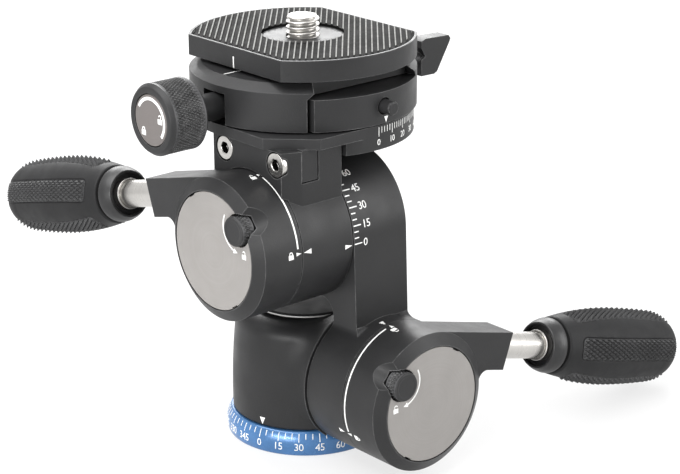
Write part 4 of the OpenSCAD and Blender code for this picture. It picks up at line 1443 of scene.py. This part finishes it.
class HEAD_OT_plate_pad(Operator):
    """Make the ribbed rubber pad of the plate."""

    bl_idname = "tripod_head.plate_pad"
    bl_label = "Ribbed plate pad"

    def execute(self, context):
        floor = low("plate_pad").z
        top = high("plate_pad").z
        half = high("plate_pad").x
        radius = high("plate_pad").y
        hole = 11.8
        pitch = in_mm(sizes().rib_pitch)
        height = in_mm(sizes().rib_height)
        border = 0.9
        work = bmesh.new()
        rim = self.outline(half, radius)
        ribbed = self.outline(half - border, radius - border)
        rings = []
        for loop in (rim, ribbed, circle(hole, 96)):
            verts = [work.verts.new((x * MM, y * MM, 0.0)) for x, y in loop]
            rings.append([work.edges.new((a, b)) for a, b in zip(verts, verts[1:] + verts[:1])])
        bmesh.ops.triangle_fill(work, use_beauty=True, edges=rings[0] + rings[1])
        bmesh.ops.triangle_fill(work, use_beauty=True, edges=rings[1] + rings[2])
        turn = sizes().rib_angle
        slant = Vector((math.sin(turn), -math.cos(turn), 0.0))
        foot = 0.18
        crown = 0.11
        reach = radius + pitch
        count = int(reach / pitch) + 1
        for index in range(-count, count + 1):
            for part in (-foot, -crown, crown, foot):
                spot = slant * (index + part) * pitch * MM
                parts = work.verts[:] + work.edges[:] + work.faces[:]
                bmesh.ops.bisect_plane(work, geom=parts, dist=1e-8, plane_co=spot, plane_no=slant)
        for vert in work.verts:
            share = abs((vert.co.dot(slant) / MM / pitch + 0.5) % 1.0 - 0.5)
            crest = max(0.0, min(1.0, (foot - share) / (foot - crown)))
            x, y = vert.co.x / MM, vert.co.y / MM
            inside = min(half - abs(x), radius - math.hypot(x, y))
            crest *= max(0.0, min(1.0, inside / border))
            vert.co.z = (top - height * (1.0 - crest)) * MM
        walls = bmesh.ops.extrude_face_region(work, geom=work.faces[:])
        for item in walls["geom"]:
            if isinstance(item, bmesh.types.BMVert):
                item.co.z = floor * MM
        bmesh.ops.recalc_face_normals(work, faces=work.faces)
        mesh = bpy.data.meshes.new("ribbed_pad")
        work.to_mesh(mesh)
        work.free()
        obj = new_object("ribbed_pad", mesh)
        settle(obj, "plate", "Ribbed rubber", ("plate_pad",))
        return {"FINISHED"}

    def outline(self, half, radius):
        """Round outline with two flats."""
        edge = math.sqrt(radius ** 2 - half ** 2)
        points = [(half, edge), (-half, edge), (-half, -edge), (half, -edge)]
        points += [(x, y) for x, y in circle(radius, 360) if abs(x) <= half]
        return sorted(points, key=lambda point: math.atan2(point[1], point[0]))


SCREW_RADIUS = 4.7625
SCREW_CORE = 3.86
SCREW_HEAD = 9.0
SCREW_HEAD_HEIGHT = 1.5
SCREW_TIP = 2.2
SCREW_CHAMFER = 0.75
CHAMFER_SLOPE = 1.05
RUNOUT_SLOPE = 1.6
THREAD_SINK = 1.4
THREAD_CUT = 0.6134
THREAD_ROOT = 0.14
THREAD_FLANK = 0.66
THREAD_STEPS = 16
SCREW_TURNS = 72


class HEAD_OT_camera_screw(Operator):
    """Make the camera screw with a real thread."""

    bl_idname = "tripod_head.camera_screw"
    bl_label = "Camera screw"

    def execute(self, context):
        pitch = in_mm(sizes().thread_pitch)
        cut = THREAD_CUT * pitch
        bottom = low("camera_screw").z
        top = high("camera_screw").z
        head = bottom + SCREW_HEAD_HEIGHT
        start = low("plate_pad").z - THREAD_SINK
        turn = np.arange(SCREW_TURNS) / SCREW_TURNS
        rings = soften([(0.0, bottom), (SCREW_HEAD, bottom), (SCREW_HEAD, head), (SCREW_CORE, head),
                        (SCREW_CORE, start)], 0.2)
        rows = int((top - start) / pitch * THREAD_STEPS)
        for row in range(rows + 1):
            height = start + (top - start) * row / rows
            wave = np.abs(((height - start) / pitch - turn) % 1.0 - 0.5) * 2.0
            tooth = np.clip((wave - THREAD_ROOT) / THREAD_FLANK, 0.0, 1.0)
            reach = SCREW_RADIUS - cut + cut * tooth
            chamfer = SCREW_RADIUS - max(0.0, SCREW_CHAMFER - (top - height)) * CHAMFER_SLOPE
            runout = SCREW_CORE + (height - start) * RUNOUT_SLOPE
            rings.append((np.minimum(reach, min(chamfer, runout)), height))
        rings += [(SCREW_TIP, top), (0.0, top)]
        points, faces = revolve(rings, SCREW_TURNS)
        obj = make_mesh("threaded_screw", points, faces)
        settle(obj, "screw", "Screw steel", ("camera_screw",))
        even_normals(obj)
        return {"FINISHED"}


# scales: nought in degrees, then the heights where long ticks start, short ones start and all end
RING_ZERO = 14.4
RING_TICKS = (4.4, 5.2, 6.7)
RING_TICK_RADIUS = RING_CENTRE + RING_EDGE - 1.0
RING_TICK_SHARE = 0.8
RING_NUMBERS = 2.85
BOSS_RADIUS = 20.6
BOSS_ZERO = -1.6
BOSS_STEP = 5.0 * 0.967
BOSS_TICKS = (7.3, 8.4, 10.0)
BOSS_NUMBERS = 6.75
TABLE_RADIUS = 31.7
TABLE_ZERO = 91.1
TABLE_TICKS = (97.2, 98.1, 99.9)
TABLE_TICK_SHARE = 0.62
TABLE_NUMBERS = 95.6
TABLE_DIGIT = 1.75
# pointers, as the function of that name takes them
BARREL_POINTER = (11.8, 16.6, 14.1, 10.0, 7.75)
HUB_POINTERS = (
    (0.0, -3.8, -2.0, 13.3, 10.75),
    (5.5, 1.3, 3.6, 25.5, 28.2),
    (83.0, 78.8, 80.9, 25.5, 28.2),
)
UPPER_DRUM_POINTERS = ((5.3, 2.4, 3.7, 30.8, 29.15), (80.4, 77.5, 79.0, 30.8, 29.15))
LOWER_DRUM_POINTERS = ((97.5, 100.5, 99.0, 41.9, 40.25), (202.5, 205.5, 204.0, 41.9, 40.25))
LOWER_HUB_POINTERS = ((97.0, 101.0, 99.0, 36.8, 38.9), (202.0, 206.0, 204.0, 36.8, 38.9))
CLAMP_POINTER = (93.3, 95.9, 94.6, 102.9, 101.1)
# arcs: angle and height of one corner, then of the other
UPPER_ARC = (7.75, 29.95, 74.25, 30.45)
LOWER_ARC = (104.0, 40.7, 201.5, 41.2)
CAP_ARC = (-40.0, 5.6, 150.0, 6.5)
# padlock signs: place on the surface, and whether the lock is open
SIGN_SIZE = 2.4
CAP_SIGN_SIZE = 2.6
UPPER_SIGNS = ((4.0, 32.7, False), (78.0, 32.7, True))
LOWER_SIGNS = ((101.0, 43.6, True), (205.0, 44.3, False))
CAP_SIGNS = ((-4.2, 1.0, True), (3.4, -3.4, False))
# bent arrows beside the pull knobs: angles from the line to the disc's middle, and reaches
ARROW_TAIL = 66.0
ARROW_NECK = 34.0
ARROW_TIP = 48.0
ARROW_BAND = (6.3, 6.75)
ARROW_BARB = (5.75, 7.3)
ARROW_TIP_REACH = 6.52
ARROW_SIGN = 72.0
ARROW_SIGN_REACH = 6.9
# index lines of jaw and plate
INDEX_HALF = 0.25
JAW_INDEX = (-28.6, -20.0)
PLATE_INDEX = (115.1, 118.35)


class HEAD_OT_marks(Operator):
    """Print the scales, index marks and lock signs."""

    bl_idname = "tripod_head.marks"
    bl_label = "Scales and marks"

    def scale(self, place, radius, zero, ticks, number, step, count, every, share=1.0):
        """Ticks round a surface, with a number at each long one and a share of the full width."""
        art = Art()
        half = math.degrees(in_mm(sizes().tick_width) * share / radius) / 2.0
        long_start, short_start, end = ticks
        for index in range(count):
            angle = zero + step * index
            is_long = index % every == 0
            art.bar(angle - half, long_start if is_long else short_start, angle + half, end, place)
            if is_long:
                number(art, angle, index)
        return art

    def base_ring(self, glyphs):
        tall = in_mm(sizes().digit_height)

        def number(art, angle, index):
            put = upright(on_ring, angle, RING_NUMBERS, RING_CENTRE + RING_EDGE)
            art.number(5 * index, put, glyphs, tall)

        art = self.scale(on_ring, RING_TICK_RADIUS, RING_ZERO, RING_TICKS, number,
                         step=5.0, count=72, every=3, share=RING_TICK_SHARE)
        art.make("base_scale", "base")

    def barrel(self):
        art = Art()
        pointer(art, on_round(PAN, BARREL_RADIUS), *BARREL_POINTER)
        art.make("barrel_index", "housing")

    def boss(self, glyphs):
        tall = in_mm(sizes().digit_height)
        place = on_boss(BOSS_RADIUS)

        def number(art, angle, index):
            value = 5 * index
            middle = BOSS_NUMBERS - DIGIT_ADVANCE * tall * len(str(value)) / 2.0
            art.number(value, sideways(place, angle, middle, BOSS_RADIUS), glyphs, tall)

        art = self.scale(place, BOSS_RADIUS, BOSS_ZERO, BOSS_TICKS, number,
                         step=BOSS_STEP, count=19, every=3)
        art.make("boss_scale", "bracket")
        art = Art()
        for points in HUB_POINTERS:
            pointer(art, on_round(UPPER, DRUM_RADIUS), *points)
        art.make("hub_index", "tilt")

    def drum(self, name, base, arc, pointers, signs, read, radius, body):
        """Arc, pointers and lock signs on a drum; read places the signs at a signed radius."""
        place = on_round(base, DRUM_RADIUS)
        art = Art()
        art.bar(*arc, place)
        for points in pointers:
            pointer(art, place, *points)
        for angle, along, is_open in signs:
            padlock(art, read(place, angle, along, radius), SIGN_SIZE, is_open)
        art.make(name, body)

    def drums(self):
        self.drum("upper_drum_marks", UPPER, UPPER_ARC, UPPER_DRUM_POINTERS, UPPER_SIGNS,
                  sideways, DRUM_RADIUS, "upper_lock")
        self.drum("lower_drum_marks", LOWER, LOWER_ARC, LOWER_DRUM_POINTERS, LOWER_SIGNS,
                  upright, -DRUM_RADIUS, "lower_lock")
        art = Art()
        for points in LOWER_HUB_POINTERS:
            pointer(art, on_round(LOWER, DRUM_RADIUS), *points)
        art.make("lower_hub_marks", "bracket")

    def pull_arrow(self, name, base, side, face, body):
        """A bent arrow and an open padlock beside a pull knob, on its grey disc."""
        spot = pull_spot(side, face)
        inward = math.degrees(math.atan2(-spot.y, -spot.x))
        art = Art()

        def bent(angle, reach, lift):
            here = math.radians(inward - side * angle)
            return base @ (spot + Vector((reach * math.cos(here), reach * math.sin(here), lift)))

        art.bar(-ARROW_TAIL, ARROW_BAND[0], ARROW_NECK, ARROW_BAND[1], bent)
        barbs = [(ARROW_NECK, reach) for reach in ARROW_BARB]
        art.shape(barbs + [(ARROW_TIP, ARROW_TIP_REACH)], bent)
        middle = bent(ARROW_SIGN, ARROW_SIGN_REACH, 0.0)
        turn = base.to_3x3()
        padlock(art, lambda x, y, lift: middle + turn @ Vector((side * x, y, lift)), SIGN_SIZE, True)
        art.make(name, body)

    def table(self, glyphs):
        place = on_round(PAN, TABLE_RADIUS)

        def number(art, angle, index):
            art.number(2 * index, upright(place, angle, TABLE_NUMBERS, TABLE_RADIUS), glyphs, TABLE_DIGIT)

        art = self.scale(place, TABLE_RADIUS, TABLE_ZERO, TABLE_TICKS, number,
                         step=2.0, count=91, every=5, share=TABLE_TICK_SHARE)
        art.make("table_scale", "tilt")
        art = Art()
        pointer(art, on_round(PAN, -low("clamp_body").y), *CLAMP_POINTER)
        art.make("clamp_index", "clamp")

    def clamp(self):
        jaw_top = high("clamp_jaw").z
        art = Art()
        art.bar(JAW_INDEX[0], -INDEX_HALF, JAW_INDEX[1], INDEX_HALF,
                lambda x, y, lift: Vector((x, y, jaw_top + lift)))
        art.make("jaw_index", "jaw")
        flat = low("quick_plate").x
        art = Art()
        art.bar(-INDEX_HALF, PLATE_INDEX[0], INDEX_HALF, PLATE_INDEX[1],
                lambda y, z, lift: Vector((flat - lift, y, z)))
        art.make("plate_index", "plate")

    def knob_cap(self):
        face = -low("clamp_knob_cap").x
        art = Art()

        def round_cap(turn, reach, lift):
            angle = math.radians(turn)
            return KNOB @ Vector((reach * math.cos(angle), reach * math.sin(angle), face + lift))

        def beside(across, along):
            return lambda x, y, lift: KNOB @ Vector((-x - across, y + along, face + lift))

        art.bar(*CAP_ARC, round_cap)
        for across, along, is_open in CAP_SIGNS:
            padlock(art, beside(across, along), CAP_SIGN_SIZE, is_open)
        art.make("knob_cap_marks", "knob")

    def execute(self, context):
        glyphs = digit_glyphs()
        self.base_ring(glyphs)
        self.barrel()
        self.boss(glyphs)
        self.drums()
        self.pull_arrow("lower_pull_arrow", LOWER, 1, -low("lower_disc").y, "lower_lock")
        self.pull_arrow("upper_pull_arrow", UPPER, -1, -low("upper_disc").x, "upper_lock")
        self.table(glyphs)
        self.clamp()
        self.knob_cap()
        return {"FINISHED"}


# lamps: place and size, in metres
KEY_LAMP = ((-0.35, 0.05, 0.80), (0.9, 0.7))
SIDE_LAMP = ((0.45, -0.60, 0.35), (0.5, 0.6))
FILL_LAMP = ((-0.68, -0.19, 0.19), (0.50, 0.26))
STRIP_LAMP = ((-0.62, -0.21, 0.22), (0.36, 0.06))
RIM_LAMP = ((0.45, 0.55, 0.50), (0.7, 0.5))
FLOOR_REACH = 4.0
FLOOR_DROP = 0.00005
FLOOR_GLOW = 0.72


class HEAD_OT_stage(Operator):
    """Make the floor, the lamps, the world and the camera."""

    bl_idname = "tripod_head.stage"
    bl_label = "Stage"

    def floor(self):
        mesh = bpy.data.meshes.new("floor")
        corners = ((-1, -1), (1, -1), (1, 1), (-1, 1))
        points = [(x * FLOOR_REACH, y * FLOOR_REACH, -FLOOR_DROP) for x, y in corners]
        mesh.from_pydata(points, [], [(0, 1, 2, 3)])
        obj = new_object("floor", mesh)
        skin = Surface("Studio floor")
        tone = skin.mix(skin.span(skin.noise(8.0), 0.0, 1.0), shade(colours().floor, 0.99), colours().floor)
        skin.finish(tone, skin.span(skin.noise(30.0), 0.85, 0.95))
        glow = skin.node("Emission", {"Strength": 1.0}).outputs["Emission"]
        share = skin.math("MULTIPLY", skin.seen(), FLOOR_GLOW)
        mixed = skin.node("MixShader", {0: share, 1: skin.shader.outputs["BSDF"], 2: glow})
        skin.feed(skin.nodes["Material Output"].inputs["Surface"], mixed.outputs["Shader"])
        mesh.materials.append(skin.material)

    def lamp(self, name, place, size, power):
        data = bpy.data.lights.new(name, "AREA")
        data.shape = "RECTANGLE"
        data.size = size[0]
        data.size_y = size[1]
        data.energy = power
        obj = new_object(name, data)
        obj.location = place
        aim = Vector((0.0, 0.0, stage().target_height)) - Vector(place)
        obj.rotation_euler = aim.to_track_quat("-Z", "Y").to_euler()

    def world(self):
        world = bpy.data.worlds.new("Studio")
        world.use_nodes = True
        tree = Tree(world.node_tree)
        plain = tree.nodes["Background"]
        white = tree.node("Background")
        for light, strength in ((plain, stage().ambient), (white, 1.0)):
            light.inputs["Color"].default_value = (1.0, 1.0, 1.0, 1.0)
            light.inputs["Strength"].default_value = strength
        lights = {0: tree.seen(), 1: plain.outputs["Background"], 2: white.outputs["Background"]}
        mixed = tree.node("MixShader", lights)
        tree.feed(tree.nodes["World Output"].inputs["Surface"], mixed.outputs["Shader"])
        bpy.context.scene.world = world

    def camera(self):
        look = stage()
        data = bpy.data.cameras.new("Camera")
        data.sensor_width = 36.0
        data.lens = look.lens
        data.shift_x = look.shift_x
        data.shift_y = look.shift_y
        data.clip_start = 0.01
        obj = new_object("Camera", data)
        flat = math.cos(look.elevation)
        back = Vector((math.sin(look.azimuth) * flat, -math.cos(look.azimuth) * flat,
                       math.sin(look.elevation)))
        right = Vector((math.cos(look.azimuth), math.sin(look.azimuth), 0.0))
        up = back.cross(right)
        rolled = right * math.cos(look.roll) + up * math.sin(look.roll)
        raised = up * math.cos(look.roll) - right * math.sin(look.roll)
        place = Vector((0.0, 0.0, look.target_height)) + back * look.distance
        obj.matrix_world = axes(place, rolled, raised, back)
        bpy.context.scene.camera = obj

    def execute(self, context):
        look = stage()
        self.floor()
        self.lamp("key_lamp", *KEY_LAMP, look.key_power)
        self.lamp("side_lamp", *SIDE_LAMP, look.side_power)
        self.lamp("fill_lamp", *FILL_LAMP, look.fill_power)
        self.lamp("strip_lamp", *STRIP_LAMP, look.strip_power)
        self.lamp("rim_lamp", *RIM_LAMP, look.rim_power)
        self.world()
        self.camera()
        context.scene.view_settings.view_transform = "Standard"
        return {"FINISHED"}


class HEAD_PT_panel(Panel):
    """Sizes, colours and steps of the tripod head."""

    bl_idname = "HEAD_PT_panel"
    bl_label = "Tripod head"
    bl_space_type = "VIEW_3D"
    bl_region_type = "UI"
    bl_category = "Tripod head"

    def draw(self, context):
        layout = self.layout
        for operator in OPERATORS:
            layout.operator(operator.bl_idname)
        for group in (context.scene.head_sizes, context.scene.head_colours, context.scene.head_stage):
            box = layout.box()
            for name in group.__annotations__:
                box.prop(group, name)


OPERATORS = (
    HEAD_OT_finishes,
    HEAD_OT_metalwork,
    HEAD_OT_housing,
    HEAD_OT_knobs,
    HEAD_OT_grips,
    HEAD_OT_seams,
    HEAD_OT_plate_pad,
    HEAD_OT_camera_screw,
    HEAD_OT_marks,
    HEAD_OT_stage,
)
CLASSES = (HeadSizes, HeadColours, StageSettings) + OPERATORS + (HEAD_PT_panel,)


def register():
    """Adds the classes and the scene's settings."""
    for item in CLASSES:
        bpy.utils.register_class(item)
    bpy.types.Scene.head_sizes = PointerProperty(type=HeadSizes)
    bpy.types.Scene.head_colours = PointerProperty(type=HeadColours)
    bpy.types.Scene.head_stage = PointerProperty(type=StageSettings)


def unregister():
    """Takes them away again."""
    del bpy.types.Scene.head_stage
    del bpy.types.Scene.head_colours
    del bpy.types.Scene.head_sizes
    for item in reversed(CLASSES):
        bpy.utils.unregister_class(item)


def main():
    """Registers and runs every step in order."""
    register()
    bpy.ops.tripod_head.finishes()
    bpy.ops.tripod_head.metalwork()
    bpy.ops.tripod_head.housing()
    bpy.ops.tripod_head.knobs()
    bpy.ops.tripod_head.grips()
    bpy.ops.tripod_head.seams()
    bpy.ops.tripod_head.plate_pad()
    bpy.ops.tripod_head.camera_screw()
    bpy.ops.tripod_head.marks()
    bpy.ops.tripod_head.stage()


if __name__ == "__main__":
    main()
